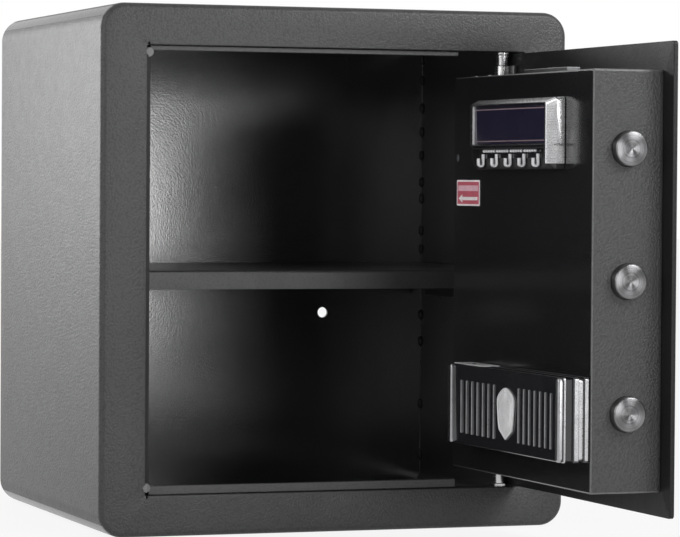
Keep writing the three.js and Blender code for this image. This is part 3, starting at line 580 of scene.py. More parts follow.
# Pale silver paint: the shield's own colour; on the bezel's hinge side and the battery cap it is partly a
# painted highlight
SILVER_PAINT = moulded("silver_paint", (0.68, 0.68, 0.69), 0.34, 0.8, 0.006, 0.3)
SILVER_GREY = moulded("silver_grey", (0.12, 0.12, 0.122), 0.4, 0.8, 0.01)
GLOSS_BLACK = moulded("gloss_black", (0.012, 0.012, 0.014), 0.16, 0.6, 0.004, 0.5)
SATIN_BLACK = moulded("satin_black", (0.014, 0.014, 0.015), 0.42, 0.3, 0.02)
NAVY_WINDOW = moulded("navy_window", (0.016, 0.014, 0.032), 0.12, 2.0, 0.003, 0.6)
KEY_GREY = moulded("key_grey", (0.09, 0.095, 0.1), 0.5, 0.3, 0.02)
PRINT_WHITE = moulded("print_white", (0.75, 0.75, 0.74), 0.5, 0.3, 0.005)
PINK_PRINT = moulded("pink_print", (0.2, 0.15, 0.16), 0.4, 0.5, 0.003)
BOARD_GREEN = moulded("board_green", (0.01, 0.09, 0.04), 0.4, 1.0, 0.02)
LABEL_RED = moulded("label_red", (0.53, 0.12, 0.16), 0.45, 0.5, 0.005)
LABEL_ROSE = moulded("label_rose", (0.78, 0.47, 0.54), 0.45, 0.5, 0.005)
LABEL_WHITE = moulded("label_white", (0.9, 0.82, 0.83), 0.45, 0.5, 0.005)
BATTERY_DARK = moulded("battery_dark", (0.03, 0.03, 0.033), 0.3, 1.0, 0.004)
LEAD_RED = moulded("lead_red", (0.25, 0.015, 0.015), 0.4, 0.8, 0.01)

# Cabinet
SHEET = 3
SIDE_BORDER = 40
END_BORDER = 35
RETURN_START = 1
SIDE_RETURN = 17
END_RETURN = 22
LIP = 7
LIP_SHEET = 2
CASING_RADIUS = 21
CASING_EDGE = 5
OPENING_EDGE = 0.8
OPENING_RADIUS = 0.5
CORNER_STEPS = 12
ANCHOR_RADIUS = 5
ANCHOR_OFFSET = 106.4
FLOOR_ANCHOR_Y = 230
WALL_ANCHOR_Z = 174.7
NOTCH_INSET = 0.6
NOTCH_WIDTH = 1.8
NOTCH_DEPTH = 2.4
PANEL_GAP = 0.3
BUFFER_PROFILE = [(-0.6, 3.0), (-0.2, 3.7), (1, 4), (10, 4), (11, 3.2)]
BUFFER_SHOWN = 1.2
# Each buffer's name, its end of the opening and its centre from the corner there
BUFFERS = (("top", 1, 2.7, -6), ("bottom", 0, 1.7, 6.4))
WELD_PLACES = (420, 400, 373, 350, 327, 301, 285, 254, 236, 172, 146, 85, 35)
WELD_RADII = (0.3, 1.7, 2.1, 1.9, 2.1, 1.6, 0.3)
WELD_STEP = 1.6
WELD_INSET = 0.6
SHELF_SHEET = 2
SHELF_BEND = 2.6
SHELF_INNER_BEND = 1.2

CASING_X, CASING_Y, CASING_Z = spans("cabinet_shell")
INSIDE_X = grown(CASING_X, -SHEET)
INSIDE_Z = grown(CASING_Z, -SHEET)
OPENING_X = grown(CASING_X, -SIDE_BORDER)
OPENING_Z = grown(CASING_Z, -END_BORDER)


def casing_solid():
    """The bent shell with its framed opening, as one closed run of rings."""
    front = CASING_Y[0]
    rings = [layer("y", CASING_Y[1], rounded(CASING_X, CASING_Z, CASING_RADIUS, CORNER_STEPS))]
    for inset, rise in edge_steps(CASING_EDGE, 6):
        x, z = grown(CASING_X, -inset), grown(CASING_Z, -inset)
        outline = rounded(x, z, CASING_RADIUS - inset, CORNER_STEPS)
        rings.append(layer("y", front + CASING_EDGE - rise, outline))
    for inset, rise in reversed(edge_steps(OPENING_EDGE, 3)):
        x, z = grown(OPENING_X, inset), grown(OPENING_Z, inset)
        outline = rounded(x, z, OPENING_RADIUS + inset, CORNER_STEPS)
        rings.append(layer("y", front + OPENING_EDGE - rise, outline))
    rings.append(layer("y", front + SHEET, rounded(OPENING_X, OPENING_Z, OPENING_RADIUS, CORNER_STEPS)))
    inner = rounded(INSIDE_X, INSIDE_Z, CASING_RADIUS - SHEET, CORNER_STEPS)
    rings += [layer("y", front + SHEET, inner), layer("y", CASING_Y[1], inner)]
    return loft(rings, endless=True)


def anchors(across):
    """The places of a panel's two anchor holes across it."""
    return [middle(across) + side * ANCHOR_OFFSET for side in (-1, 1)]


def casing():
    """The cabinet with its returns, bush holes, floor anchors and corner notches."""
    left, right = OPENING_X
    low, high = OPENING_Z
    returns = [
        block((left - SHEET, left), (RETURN_START, SIDE_RETURN), (low - SHEET, high + SHEET)),
        block((left - LAP, left + LIP), (SIDE_RETURN - LIP_SHEET, SIDE_RETURN), grown(OPENING_Z, LAP)),
        block((left - LAP, right), (RETURN_START, END_RETURN), (high, high + SHEET)),
        block((left - LAP, right), (RETURN_START, END_RETURN), (low - SHEET, low)),
    ]
    bush_radius = half(spans("hinge_bush_top")[0]) - LAP
    tools = [drill("z", HINGE, grown(OPENING_Z, 2 * REACH), bush_radius, 48)]
    for place in anchors(CASING_X):
        tools.append(drill("z", (place, FLOOR_ANCHOR_Y), (-REACH, SHEET + REACH), ANCHOR_RADIUS, 48))
    notch_x = (left + NOTCH_INSET, left + NOTCH_INSET + NOTCH_WIDTH)
    for notch_z in ((high - LAP, high + NOTCH_DEPTH), (low - NOTCH_DEPTH, low + LAP)):
        tools.append(block(notch_x, (-REACH, REACH), notch_z))

    def paint(centre, normal):
        framed = centre.y < END_RETURN and within(centre.x, OPENING_X) and within(centre.z, OPENING_Z)
        if framed:
            # The lock-side return takes the much darker coat, as painted shade
            return 2 if centre.y > OPENING_EDGE and within(centre.x, (left, left + LIP)) else 0
        # Faces inside the cabinet take the darker inside coat, as painted shade
        inside = centre.y > SHEET - 0.1 and within(centre.x, INSIDE_X) and within(centre.z, INSIDE_Z)
        return 1 if inside else 0

    piece(
        "casing", cut(fused(casing_solid(), *returns), *tools), [OUTSIDE_COAT, SHADED_INSIDE_COAT, SHADE_COAT],
        "powder_coat", "cabinet_shell", ("cabinet_shell",), paint=paint,
    )


def back():
    """The back panel with its two wall anchors."""
    x, y, z = spans("back_panel")
    panel = slab("y", y, x, z, CASING_RADIUS - SHEET - PANEL_GAP, (0.4, 0.6), CORNER_STEPS)
    holes = [drill("y", (place, WALL_ANCHOR_Z), grown(y, REACH), ANCHOR_RADIUS) for place in anchors(x)]
    # The panel's inner face takes the darker inside coat, as painted shade
    piece(
        "back", cut(panel, *holes), [OUTSIDE_COAT, SHADED_INSIDE_COAT], "powder_coat", "back_panel", ("back_panel",),
        paint=lambda centre, normal: 1 if centre.y < y[0] + 0.5 else 0,
    )


def buffers():
    """The two round stops at the lock side, cut away where the closed door stands."""
    left = OPENING_X[0]
    door_back = spans("door_plate")[1][1]
    for name, end, right, up in BUFFERS:
        centre = (left + right, OPENING_Z[end] + up)
        stop = lathe("y", centre, BUFFER_PROFILE, 32)
        clear = block((left + BUFFER_SHOWN, left + 20), (-2, door_back + 0.5), around(centre[1], 20))
        piece("buffer_" + name, cut(stop, clear), SILVER_GREY, "plain_steel", "cabinet_shell")


def welds():
    """Short beads along the back's upright corners."""
    y = spans("back_panel")[1][0] - 0.2
    for name, x in zip(("left", "right"), grown(INSIDE_X, -WELD_INSET)):
        beads = []
        for z in WELD_PLACES:
            path = [(x, y, z + WELD_STEP * (number - 3)) for number in range(len(WELD_RADII))]
            beads.append(tube(path, WELD_RADII, 10))
        piece("weld_" + name, together(*beads), SHELF_COAT, "powder_coat", "cabinet_shell")


def shelf():
    """The shelf as a tray with its bent edges down."""
    x, y, z = spans("shelf")
    below = (z[0] - REACH, z[1] - SHELF_SHEET)
    inner_x, inner_y = grown(x, -SHELF_SHEET), grown(y, -SHELF_SHEET)
    tray = cut(
        slab("z", z, x, y, 3, (0, SHELF_BEND)),
        slab("z", below, inner_x, inner_y, SHELF_INNER_BEND, (0, SHELF_INNER_BEND)),
    )
    # The shelf's top faces take the lighter coat, a painted sheen
    piece(
        "shelf_tray", tray, [SHELF_COAT, SHELF_TOP_SHEEN_COAT], "powder_coat", "shelf", ("shelf",), bevel=0.3,
        segments=2, paint=lambda centre, normal: 1 if normal.z > 0.95 else 0,
    )


# Door
BOLTS = ("bolt_bottom", "bolt_middle", "bolt_top")
SPINDLE_HOLE = 6
BARREL_HOLE = 12.3
PIVOT_HOLE = 2.3
COVER_PIVOT_RISE = 24
BOX_SHEET = 2
BOX_EDGE = 1.6
BOLT_HOLE = 14.4
RESET_HOLE = 3.3
LEAD_HOLE = 2.3
# Where the painted highlight on the box's lock-side edges begins
HIGHLIGHT_EDGE_START = 6.3
FACE_SCREW = (297.2, 326.9)
TOP_SCREW = (322, 42)
TOP_TAB = (331, 52)
STRIP_SCREWS = (168, 176)
ARM_DEPTH = 3.4
KNUCKLE_RADIUS = 6.6
KNUCKLE_EDGE = 0.6
WEB_WIDTH = 8
COLLAR_RINGS = 5
COLLAR_RIM = 0.9
# Shares of the pitch, each with how far a ring stands out from the pin there
COLLAR_RING = ((0.1, 0.1), (0.35, 0.5), (0.65, 0.5), (0.9, 0.1))
# Places along a bolt from its end, with the radius there and then with how far its edge is drawn in
BOLT_DISH = ((0.25, 0.6), (0, 1.2))
BOLT_EDGE = ((0, 1.3), (0.25, 0.6), (0.8, 0.12), (1.4, 0))


def door_sheet():
    """The door's outer plate with its holes for handle, key lock and cover."""
    x, y, z = spans("door_plate")
    plate = slab("y", y, x, z, 3, (0.6, 0.6))
    barrel = front_centre("override_lock_body")
    pivot = (front_centre("keyhole_cover")[0], barrel[1] + COVER_PIVOT_RISE)
    holes = [
        drill("y", front_centre("handle_spindle"), grown(y, REACH), SPINDLE_HOLE),
        drill("y", barrel, grown(y, REACH), BARREL_HOLE),
        drill("y", pivot, grown(y, REACH), PIVOT_HOLE),
    ]
    # The plate's inner face takes the much darker coat, as painted shade
    piece(
        "door_sheet", cut(plate, *holes), [OUTSIDE_COAT, SHADE_COAT], "powder_coat", "door_plate",
        ("door_plate",), paint=lambda centre, normal: 1 if centre.y > y[0] + 0.7 else 0,
    )


def door_casing():
    """The box on the door's inner face, glossy and darker on that face as painted shade, and lighter along
    its lock-side edges as a painted highlight.
    """
    x, y, z = spans("door_box")
    hollow = block(grown(x, -BOX_SHEET), (y[0] - REACH, y[1] - BOX_SHEET), grown(z, -BOX_SHEET))
    box = cut(slab("y", y, x, z, 2, (0, BOX_EDGE)), hollow)
    tools = []
    for name in BOLTS:
        _, bolt_y, bolt_z = spans(name)
        tools.append(drill("x", (middle(bolt_y), middle(bolt_z)), around(x[0], 2 * REACH), BOLT_HOLE, 96))
    through = around(y[1], 2 * REACH)
    tools.append(drill("y", front_centre("reset_button"), through, RESET_HOLE, 32))
    lead_x, _, lead_z = spans("battery_lead")
    for place in grown(lead_z, -2):
        tools.append(drill("y", (middle(lead_x), place), through, LEAD_HOLE, 32))

    def paint(centre, normal):
        # The inner face takes the darker coat, as painted shade
        if centre.y > y[1] - 0.3:
            return 1
        # The slanted lock-side edges take the lighter coat, a painted highlight
        lock_side = centre.x < x[0] + 2.2 and centre.y > HIGHLIGHT_EDGE_START
        slanted = sorted(abs(part) for part in normal)[1] > 0.3
        return 2 if lock_side and slanted else 0

    piece(
        "door_casing", cut(box, *tools), [OUTSIDE_COAT, SHADED_FACE_COAT, EDGE_HIGHLIGHT_COAT], "powder_coat", "door_box",
        ("door_box",), paint=paint, bevel=0.25, segments=2,
    )


def door_fasteners():
    """Small heads on the door's box: on its face, on its top and on the strip there."""
    _, y, z = spans("door_box")
    screw(FACE_SCREW, (y[1] - 0.2, y[1] + 1.1), 2.5, "face_screw", DARK_STEEL, "plain_steel", "door_box")
    screw(TOP_SCREW, (z[1] - 0.2, z[1] + 2.6), 2.6, "top_screw", SATIN_CHROME, "chrome", "door_box", "z")
    tab = slab("z", (z[1] - 0.1, z[1] + 1.5), around(TOP_TAB[0], 8), around(TOP_TAB[1], 3), 0.8, (0, 0.4))
    piece("top_tab", tab, DARK_STEEL, "plain_steel", "door_box")
    _, strip_y, strip_z = spans("box_top_strip")
    along = (strip_z[1] - 0.2, strip_z[1] + 1.1)
    for number, place in enumerate(STRIP_SCREWS):
        name = f"strip_screw_{number + 1}"
        screw((place, middle(strip_y)), along, 1.7, name, SATIN_BLACK, "plain_steel", "box_top_strip", "z")


def brackets():
    """Each hinge bracket as a bright knuckle round the pin on a dark arm."""
    def paint(centre, normal):
        return 1 if centre.y > HINGE[1] - 5 and abs(centre.x - HINGE[0]) < KNUCKLE_RADIUS + 0.2 else 0

    for end in ("top", "bottom"):
        node = "hinge_bracket_" + end
        x, y, z = spans(node)
        profile = [(place, KNUCKLE_RADIUS) for place in grown(z, -KNUCKLE_EDGE)]
        small = KNUCKLE_RADIUS - KNUCKLE_EDGE
        knuckle = lathe("z", HINGE, [(z[0], small), *profile, (z[1], small)], 48)
        arm = slab("z", z, x, (y[0], y[0] + ARM_DEPTH), 0.8, (0.5, 0.5))
        web = slab("z", z, around(HINGE[0], WEB_WIDTH), (y[0] + LAP, HINGE[1]), 0.8, (0.5, 0.5))
        solid = fused(arm, knuckle, web)
        # The arm takes the darker inside coat, as painted shade
        piece("bracket_" + end, solid, [SHADED_INSIDE_COAT, PIN_STEEL], "dark_coat", node, (node,), paint=paint)


def hinge_collar():
    """A ringed collar on the upper pin, between its bracket and the frame's bush."""
    radius = half(spans("hinge_pin_top")[0])
    low = spans("hinge_bracket_top")[2][1] + 0.1
    high = spans("hinge_bush_top")[2][0] - 0.5
    pitch = (high - 2 - low) / COLLAR_RINGS
    profile = [(low, radius - 0.5)]
    for number in range(COLLAR_RINGS):
        for share, proud in COLLAR_RING:
            profile.append((low + (number + share) * pitch, radius + proud))
    rim = radius + COLLAR_RIM
    profile += [(high - 1.9, rim), (high - 0.3, rim), (high, rim - 0.3), (high, radius - 0.5)]
    piece("hinge_collar", lathe("z", HINGE, profile, 48), SATIN_CHROME, "bolt_steel", "hinge_pin_top")


def bolts():
    """Each bolt as a turned bar with an eased, slightly dished end."""
    for name in BOLTS:
        x, y, z = spans(name)
        radius = half(z)
        profile = [(x[0] + along, near_axis) for along, near_axis in BOLT_DISH]
        profile += [(x[0] + along, radius - inset) for along, inset in BOLT_EDGE]
        profile += [(x[1] - 0.5, radius), (x[1], radius - 0.5)]
        solid = lathe("x", (middle(y), middle(z)), profile, 96)
        piece(name + "_turned", solid, TURNED_STEEL, "bolt_steel", name, (name,))


# Control unit and key hooks
UNIT_X, UNIT_Y, UNIT_Z = spans("control_housing")
GLASS_X, GLASS_Y, GLASS_Z = spans("control_window")
UNIT_FRONT = UNIT_Y[1]
UNIT_TOP = UNIT_Z[1] - 2.2
SHOULDER = UNIT_FRONT - 7
RECESS_DEPTH = 6.5
RECESS_TOP = 16.8
BEZEL_BOTTOM = UNIT_Z[0] + 16.2
PANE_FRONT = GLASS_Y[0] + 0.2
PANE_THICKNESS = 0.8
PANE_OPENING = (GLASS_X[0] + 0.3, GLASS_X[1] + 0.2)
LINE_PLACES = (GLASS_Z[1] - 4, GLASS_Z[0] + 4.9)
LINE_HEIGHT = 0.9
SILLS = ((GLASS_Z[1] - 1.1, 1.0), (GLASS_Z[1] - 2.6, 0.7), (GLASS_Z[0] + 2.3, 0.8))
RIB_PITCH = 2.1
RIB_RADIUS = 0.6
HOOK_PLACES = (144.2, 172.6, 201.0, 229.4, 257.8)
HOOK_WIDTH = 3.8
HOOK_STRIP = 1.9
HOOK_LEG = 1.5
HOOK_BEND = 2.1
CLIP_STEPS = 32

# The bezel's slope on the lock side, as places along x and y from the door box to its front
SLOPE = [(UNIT_X[0] - 1.15, UNIT_Y[0] + 0.2), (UNIT_X[0] - 0.15, SHOULDER)]
SLOPE += [(UNIT_X[0] + 4.9, UNIT_FRONT - 0.5), (UNIT_X[0] + 5.6, UNIT_FRONT + 0.2)]
# At the same places, its insets on the hinge side, below and above, and its corner radius
BEZEL_LEVELS = ((-1.15, -0.6, -0.4, 2.5), (-0.15, 0, 0, 2.5), (1.4, 2.8, 3.4, 2.5), (2, 3.2, 3.8, 2))


def control_housing():
    """The black housing, with a recess for the key hooks and a seat for the pane."""
    base = rounded(UNIT_X, (UNIT_Z[0], UNIT_TOP), 2)
    face = rounded(grown(UNIT_X, -6), (UNIT_Z[0] + 6, UNIT_TOP - 5), 2)
    shell = loft([layer("y", UNIT_Y[0], base), layer("y", SHOULDER, base), layer("y", UNIT_FRONT, face)])
    recess_z = (UNIT_Z[0] - LAP, UNIT_Z[0] + RECESS_TOP)
    recess = slab("y", (UNIT_FRONT - RECESS_DEPTH, UNIT_FRONT + LAP), grown(UNIT_X, -6.5), recess_z)
    seat = slab("y", (PANE_FRONT - 1, UNIT_FRONT + LAP), grown(GLASS_X, 0.3), grown(GLASS_Z, 0.3), 1)
    piece(
        "control_housing_fine", cut(shell, recess, seat), SATIN_BLACK, "black_gloss", "control_housing",
        ("control_housing",), bevel=0.3,
    )


def control_bezel():
    """The bright bezel round the window, its hinge side painted pale silver as a painted highlight."""
    rings = []
    for (lock_x, place), (hinge_in, low_in, top_in, corner) in zip(SLOPE, BEZEL_LEVELS):
        height = (BEZEL_BOTTOM + low_in, UNIT_TOP - top_in)
        rings.append(layer("y", place, rounded((lock_x, UNIT_X[1] - hinge_in), height, corner)))
    opening_z = (BEZEL_BOTTOM + 3.9, GLASS_Z[1] - 0.3)
    opening = slab("y", grown(UNIT_Y, LAP), PANE_OPENING, opening_z, 1.5)
    # The hinge side takes the pale silver paint, a painted highlight
    piece(
        "control_bezel", cut(loft(rings), opening), [SATIN_CHROME, SILVER_PAINT], "chrome", "control_housing",
        bevel=0.3, paint=lambda centre, normal: 1 if centre.x > GLASS_X[1] - 1 and abs(normal.z) < 0.5 else 0,
    )


def control_column():
    """The column that carries the bezel's slope down beside the hooks, and the ribs on the slope."""
    inner = UNIT_X[0] + 8.2
    outline = SLOPE + [(inner, UNIT_FRONT + 0.2), (inner, UNIT_Y[0] + 0.2)]
    column = prism("z", (UNIT_Z[0] + 4.5, BEZEL_BOTTOM + 5), outline)
    piece("control_column", column, SATIN_CHROME, "chrome", "control_housing", bevel=0.25)
    low = UNIT_Z[0] + 6
    ribs = []
    for number in range(int((UNIT_TOP - 4 - low) / RIB_PITCH)):
        rib_z = low + number * RIB_PITCH
        path = [(UNIT_X[0] + 0.25, SHOULDER, rib_z), (UNIT_X[0] + 5, UNIT_FRONT - 0.5, rib_z)]
        ribs.append(tube(path, (RIB_RADIUS, RIB_RADIUS), 8))
    piece("control_ribs", together(*ribs), SATIN_CHROME, "chrome", "control_housing")


def control_window():
    """The bare pane, with its two border lines and the sills along its edges."""
    pane = slab("y", (PANE_FRONT - PANE_THICKNESS, PANE_FRONT), GLASS_X, GLASS_Z, 1, (0, 0.3))
    piece("control_pane", pane, NAVY_WINDOW, "window_blue", "control_window", ("control_window",))
    lines, sills = [], []
    for place in LINE_PLACES:
        along = (PANE_FRONT - 0.2, PANE_FRONT + 0.15)
        lines.append(slab("y", along, grown(PANE_OPENING, -0.2), around(place, LINE_HEIGHT), 0.2))
    piece("control_lines", together(*lines), PINK_PRINT, "window_blue", "control_window")
    for place, height in SILLS:
        along = (PANE_FRONT - 0.2, PANE_FRONT + 0.4)
        sills.append(slab("y", along, PANE_OPENING, around(place, height), 0.3, (0, 0.25)))
    piece("control_sills", together(*sills), GLOSS_BLACK, "black_gloss", "control_window")


def key_hooks():
    """The hooks on their rail, and the beaded clips between them."""
    x, y, z = spans("key_hook_rail")
    behind = y[0]
    leg = behind + HOOK_LEG
    places = [around(centre, HOOK_WIDTH) for centre in HOOK_PLACES]
    path = [(leg, z[1] - 1.4), (leg, z[0] + 5)]
    path += arc((leg + HOOK_BEND, z[0] + 3.2), HOOK_BEND, 180, 360)
    path += [(leg + 2 * HOOK_BEND, z[0] + 7.6)]
    hooks = [strip(place, path, HOOK_STRIP) for place in places]
    rail = slab("y", (behind, behind + 0.5), x, (z[1] - 5, z[1] + 2), 0.6, (0, 0.2))
    piece("hook_rail", rail, GLOSS_BLACK, "chrome", "key_hook_rail", ("key_hook_rail",), bevel=0.15)
    piece("hook_set", together(*hooks), BRIGHT_NICKEL, "chrome", "key_hook_rail", bevel=0.15)
    clips = []
    beads = [1.15 + 0.3 * sin(4.5 * tau * i / CLIP_STEPS) for i in range(1, CLIP_STEPS)]
    for before, after in zip(places, places[1:]):
        low, high = before[1] + 0.6, after[0] - 0.6
        across = [low + (high - low) * i / CLIP_STEPS for i in range(CLIP_STEPS + 1)]
        clips.append(tube([(place, behind + 2.1, z[1] + 1.2) for place in across], [0.5, *beads, 0.5], 12))
    piece("hook_clips", together(*clips), BRIGHT_NICKEL, "chrome", "key_hook_rail")


# Label
LABEL_BAND = (9.4, 4.6)
ARROW_RISE = 6.2
ARROW_HEAD = (8.5, 3.6)
ARROW_SHAFT = 1.4


def label():
    """The red card with a rose band and an arrow towards the hinge."""
    x, y, z = spans("arrow_label")
    card = slab("y", (y[0], y[0] + 0.2), x, z, 1)
    piece("label_card", card, LABEL_WHITE, "label_red", "arrow_label", ("arrow_label",))
    field = slab("y", (y[0] + 0.1, y[0] + 0.3), grown(x, -1.6), grown(z, -1.5), 0.6)
    piece("label_field", field, LABEL_RED, "label_red", "arrow_label")
    band_z = (z[1] - LABEL_BAND[0], z[1] - LABEL_BAND[1])
    rose = slab("y", (y[0] + 0.2, y[0] + 0.36), grown(x, -3.5), band_z, 0.5)
    piece("label_band", rose, LABEL_ROSE, "label_red", "arrow_label")
    tip, tail = x[1] - 4.2, x[0] + 4.5
    neck = tip - ARROW_HEAD[0]
    upper = [(neck, ARROW_HEAD[1]), (neck, ARROW_SHAFT), (tail, ARROW_SHAFT)]
    lower = [(a, -b) for a, b in reversed(upper)]
    outline = [(a, z[0] + ARROW_RISE + b) for a, b in [(tip, 0), *upper, *lower]]
    piece("label_arrow", prism("y", (y[0] + 0.2, y[1]), outline), LABEL_WHITE, "label_red", "arrow_label")


# Battery box
BAND_PROUD = 0.15
BAND_SUNK = -1.35
BANDS = ((0, 3.6, BAND_PROUD), (3.4, 8.6, BAND_SUNK), (8.4, 12.6, BAND_PROUD), (19.6, 21.5, BAND_PROUD))
LID_RIBS = [70.6 + 10.65 * number for number in range(8)] + [196 + 11.6 * number for number in range(7)]
LID_RIB_WIDTH = 1.3
LID_RIB_Z = (90.5, 135)
RIDGE_WIDTH = 7
SHIELD = [(0, 21.2), (3.5, 20.7), (7.5, 19.3), (11, 17.5), (14, 15.4), (16, 13.4), (16.8, 11.4), (16.6, 7)]
SHIELD += [(15.8, 0), (14.6, -8), (13.4, -12.6), (12.4, -14.2), (0, -21.2)]
SHIELD_SHIFT = -3


def battery_box():
    """The battery box with its chrome bands and the cap on its top, whose pale silver is partly a painted
    highlight.
    """
    x, y, z = spans("battery_housing")
    refined("battery_housing", GLOSS_BLACK, "black_gloss", 0.4)
    for number, (low, high, out) in enumerate(BANDS):
        ring = band("y", (y[0] + low, y[0] + high), grown(x, out), grown(z, out), 1.2 + out, 2.2, 0.5)
        piece(f"battery_band_{number + 1}", ring, BAND_CHROME, "chrome", "battery_housing")
    # The cap stands for a plated top plate; its pale silver paint is partly a painted highlight on the box's
    # top
    cap = slab("z", (z[1] - 0.2, z[1] + 0.5), (x[1] - 62, x[1] - 0.5), (y[0] + 4, y[1] - 0.3), 2, (0, 0.4))
    piece("battery_cap", cap, SILVER_PAINT, "chrome", "battery_housing")
    spot, along = (x[1] - 32, y[0] + 15.5), (z[1] + 0.3, z[1] + 1.2)
    screw(spot, along, 2.2, "battery_screw", SATIN_BLACK, "black_gloss", "battery_housing", "z")


def battery_cover():
    """The sliding lid with a ridge at each end and ribs between them."""
    x, y, z = spans("battery_lid")
    plate = slab("y", (y[0], y[0] + 2), x, z, 2, (0.3, 0.9))
    piece("lid_plate", plate, GLOSS_BLACK, "black_gloss", "battery_lid", ("battery_lid",))
    ridges = []
    for ridge_x in ((x[0], x[0] + RIDGE_WIDTH), (x[1] - RIDGE_WIDTH, x[1])):
        ridges.append(slab("y", (y[0] + 0.6, y[1]), ridge_x, z, 3, (0, 1.8)))
    piece("lid_ridges", together(*ridges), DULL_CHROME, "chrome", "battery_lid")
    along = (y[0] + 1.6, y[0] + 3.2)
    ribs = [slab("y", along, around(place, LID_RIB_WIDTH), LID_RIB_Z, 0.6, (0, 0.5)) for place in LID_RIBS]
    piece("lid_ribs", together(*ribs), DULL_CHROME, "chrome", "battery_lid")


def shield_outline(centre, inset):
    """The shield's outline, drawn in towards its middle."""
    right = []
    for a, b in SHIELD:
        drawn = inset * (1.3 if abs(b) > 12 else 0.5)
        right.append((max(a - inset, 0), b - drawn if b > 0 else b + drawn))
    whole = right + [(-a, b) for a, b in reversed(right[1:-1])]
    return [(centre[0] + a, centre[1] + b) for a, b in whole]


def shield():
    """The bare shield on the lid: a rim, a groove and a raised field."""
    x, y, z = spans("lid_emblem")
    centre = (middle(x) + SHIELD_SHIFT, middle(z))
    levels = [(0, y[0]), (0, y[0] + 1.1), (0.5, y[0] + 1.6), (1.7, y[0] + 1.7)]
    levels += [(2.0, y[0] + 1.3), (2.6, y[0] + 1.4), (3.6, y[1] - 0.4), (5.5, y[1] - 0.15)]
    plate = loft([layer("y", place, shield_outline(centre, inset)) for inset, place in levels])
    piece("shield_plate", plate, SILVER_PAINT, "chrome", "lid_emblem", ("lid_emblem",), sharp=25)
    stud = dome("y", (centre[0], centre[1] + 18.6), (y[0] + 0.8, y[1]), 1.5)
    piece("shield_stud", stud, SATIN_CHROME, "chrome", "lid_emblem")


# Pieces whose own shape only needs its edges rounded: finish, slot, bevel and nodes
PLAIN_PIECES = [
    (SHELF_COAT, "powder_coat", 0.6, ["door_stop_top", "door_stop_bottom"]),
    (SHELF_COAT, "powder_coat", 0.6, ["shelf_rail_left", "shelf_rail_right"]),
    (PIN_STEEL, "bolt_steel", 0.3, ["hinge_bush_top", "hinge_bush_bottom"]),
    (PIN_STEEL, "bolt_steel", 0.3, ["hinge_pin_top", "hinge_pin_bottom"]),
    (DARK_STEEL, "plain_steel", 0.5, ["box_top_strip"]),
    (PLATED_STEEL, "plain_steel", 0.3, ["bolt_guide_plate", "bolt_carrier"]),
    (PLATED_STEEL, "plain_steel", 0.3, ["guide_post_lower", "guide_post_upper"]),
    (PLATED_STEEL, "plain_steel", 0.3, ["crank", "handle_spindle", "solenoid_body", "solenoid_plunger"]),
    (PLATED_STEEL, "plain_steel", 0.3, ["override_lock_body", "override_cylinder"]),
    (CHROME, "chrome", 0.3, ["handle_rose", "handle_knob", "keyhole_cover"]),
    (SATIN_BLACK, "black_plastic", 0.8, ["keypad_housing"]),
    (NAVY_WINDOW, "window_blue", 0.3, ["display_lens"]),
    (BOARD_GREEN, "board_green", 0.2, ["control_board"]),
    (KEY_GREY, "key_grey", 0.5, ["reset_button"]),
    (BATTERY_DARK, "battery_case", 0.4, ["battery_1", "battery_2", "battery_3", "battery_4"]),
    (LEAD_RED, "lead_red", 0, ["battery_lead"]),
]
FIGURE_HEIGHT = 9
FIGURE_THICKNESS = 0.12


def plain_pieces():
    """The pieces listed above, in that order."""
    for finish, slot, bevel, nodes in PLAIN_PIECES:
        for node in nodes:
            refined(node, finish, slot, bevel)


def keys():
    """The twelve keys, each with its figure."""
    figures = {str(number): str(number) for number in range(10)}
    figures.update(clear="*", enter="#")
    for name, figure in figures.items():
        node = f"key_{name}"
        refined(node, KEY_GREY, "key_grey", 0.8)
        front = spans(node)[1][0] - 0.02
        solid = lettering(figure, FIGURE_HEIGHT, front_centre(node), front, FIGURE_THICKNESS)
        piece(f"{node}_figure", solid, PRINT_WHITE, "key_grey", node)


# Stage, light and camera
CAMERA_PLACE = (-0.95643, -2.89075, 0.30006)
CAMERA_TURN = (88.535, 0.383, -19.431)
LENS = 177.76
SENSOR = 36
ROOM_DIFFUSE = 0.45
ROOM_FRONT = 0.25
FLOOR_GREY = 0.6
FLOOR_GLOW = 0.88
FLOOR_REACH = 14


def camera():
    """The photo's camera, by its turn from looking straight down: pitch, roll and yaw in degrees."""
    data = bpy.data.cameras.new("camera")
    data.sensor_width = SENSOR
    data.lens = LENS
    data.clip_start = 0.1
    data.clip_end = 60
    thing = in_scene("camera", data)
    pitch, roll, yaw = (radians(angle) for angle in CAMERA_TURN)
    turn = Matrix.Rotation(yaw, 4, "Z") @ Matrix.Rotation(pitch, 4, "X") @ Matrix.Rotation(roll, 4, "Z")
    thing.matrix_world = Matrix.Translation(CAMERA_PLACE) @ turn
    bpy.context.scene.camera = thing


def seen_directly(tree):
    """1 for camera, glossy and transmission rays, 0 for the rest."""
    path = new_node(tree, "LightPath")
    result = path.outputs["Is Camera Ray"]
    for ray in ("Glossy", "Transmission"):
        inputs = {0: result, 1: path.outputs[f"Is {ray} Ray"]}
        result = new_node(tree, "Math", inputs, operation="MAXIMUM").outputs[0]
    return result


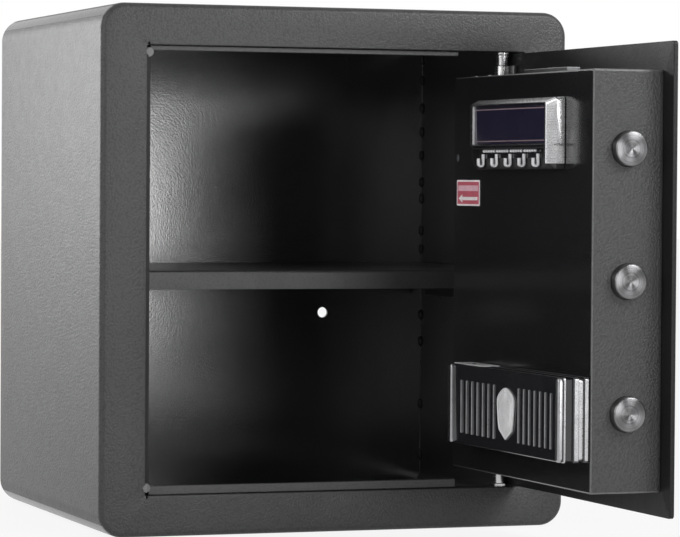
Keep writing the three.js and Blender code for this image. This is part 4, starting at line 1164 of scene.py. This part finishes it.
def world():
    """A white room, dimmer as a light, and dimmer in reflections towards its front."""
    sky = bpy.data.worlds.new("studio")
    sky.use_nodes = True
    tree = sky.node_tree
    path = new_node(tree, "LightPath")
    direction = new_node(tree, "TexCoord").outputs["Generated"]
    behind = new_node(tree, "SeparateXYZ", {0: direction}).outputs["Y"]
    inputs = {"Value": behind, "From Min": -0.4, "From Max": 0.2, "To Min": ROOM_FRONT, "To Max": 1.0}
    reflected = new_node(tree, "MapRange", inputs).outputs[0]
    strength = ROOM_DIFFUSE
    for ray, value in (("Glossy", reflected), ("Transmission", 1.0), ("Camera", 1.0)):
        inputs = {"Factor": path.outputs[f"Is {ray} Ray"], 2: strength, 3: value}
        strength = new_node(tree, "Mix", inputs).outputs[0]
    background = tree.nodes["Background"]
    feed(tree, background.inputs["Color"], (1, 1, 1))
    feed(tree, background.inputs["Strength"], strength)
    bpy.context.scene.world = sky


def stage_floor():
    """A pale floor that keeps the safe's shadow and glows where it is seen directly."""
    material = bpy.data.materials.new("pale_floor")
    material.use_nodes = True
    tree = material.node_tree
    shader = main_shader(material)
    feed(tree, shader.inputs["Base Color"], (FLOOR_GREY, FLOOR_GREY, FLOOR_GREY))
    feed(tree, shader.inputs["Roughness"], 0.9)
    glow = new_node(tree, "Emission", {"Color": (1, 1, 1)})
    share = new_node(tree, "Math", {0: seen_directly(tree), 1: FLOOR_GLOW}, operation="MULTIPLY")
    mix = new_node(tree, "MixShader", {0: share.outputs[0], 1: shader.outputs[0], 2: glow.outputs[0]})
    output = next(node for node in tree.nodes if node.type == "OUTPUT_MATERIAL")
    feed(tree, output.inputs["Surface"], mix.outputs[0])
    mesh = bpy.data.meshes.new("floor")
    corners = [(x * FLOOR_REACH, y * FLOOR_REACH, 0) for x, y in ((-1, -1), (1, -1), (1, 1), (-1, 1))]
    mesh.from_pydata(corners, [], [(0, 1, 2, 3)])
    mesh.materials.append(material)
    in_scene("floor", mesh)


def softbox(name, place, aim, size, radiance):
    """A rectangular area light of an even radiance."""
    data = bpy.data.lights.new(name, "AREA")
    data.shape = "RECTANGLE"
    data.size, data.size_y = size
    data.energy = radiance * pi * size[0] * size[1]
    thing = in_scene(name, data)
    thing.location = place
    thing.rotation_euler = (Vector(aim) - Vector(place)).to_track_quat("-Z", "Y").to_euler()
    thing.visible_camera = False


def lights():
    """The lamps, each with its place, the point it faces, its size and its radiance."""
    softbox("strip_light", (0.42, -2.3, 0.33), (0, 0, 0.25), (0.36, 0.62), 13.0)
    softbox("key_light", (1.2, -2.0, 1.25), (0.1, 0, 0.35), (0.9, 0.8), 7.2)
    softbox("side_light", (-1.6, 2.0, 0.75), (-0.2, 0, 0.3), (0.9, 1.1), 9.0)
    softbox("fill_light", (-2.2, -1.2, 1.2), (0, 0, 0.2), (1.5, 1.5), 3.6)
    softbox("near_light", (-1.2, -2.5, 0.9), (0.1, 0, 0.3), (0.7, 0.7), 2.2)
    softbox("top_light", (0.8, -1.05, 1.0), (0.15, -0.2, 0.35), (0.6, 0.6), 8.0)


world()
camera()
stage_floor()
lights()
casing()
back()
buffers()
welds()
shelf()
door_sheet()
door_casing()
door_fasteners()
brackets()
hinge_collar()
bolts()
control_housing()
control_bezel()
control_column()
control_window()
key_hooks()
label()
battery_box()
battery_cover()
shield()
plain_pieces()
keys()
bpy.context.scene.view_settings.view_transform = "Standard"
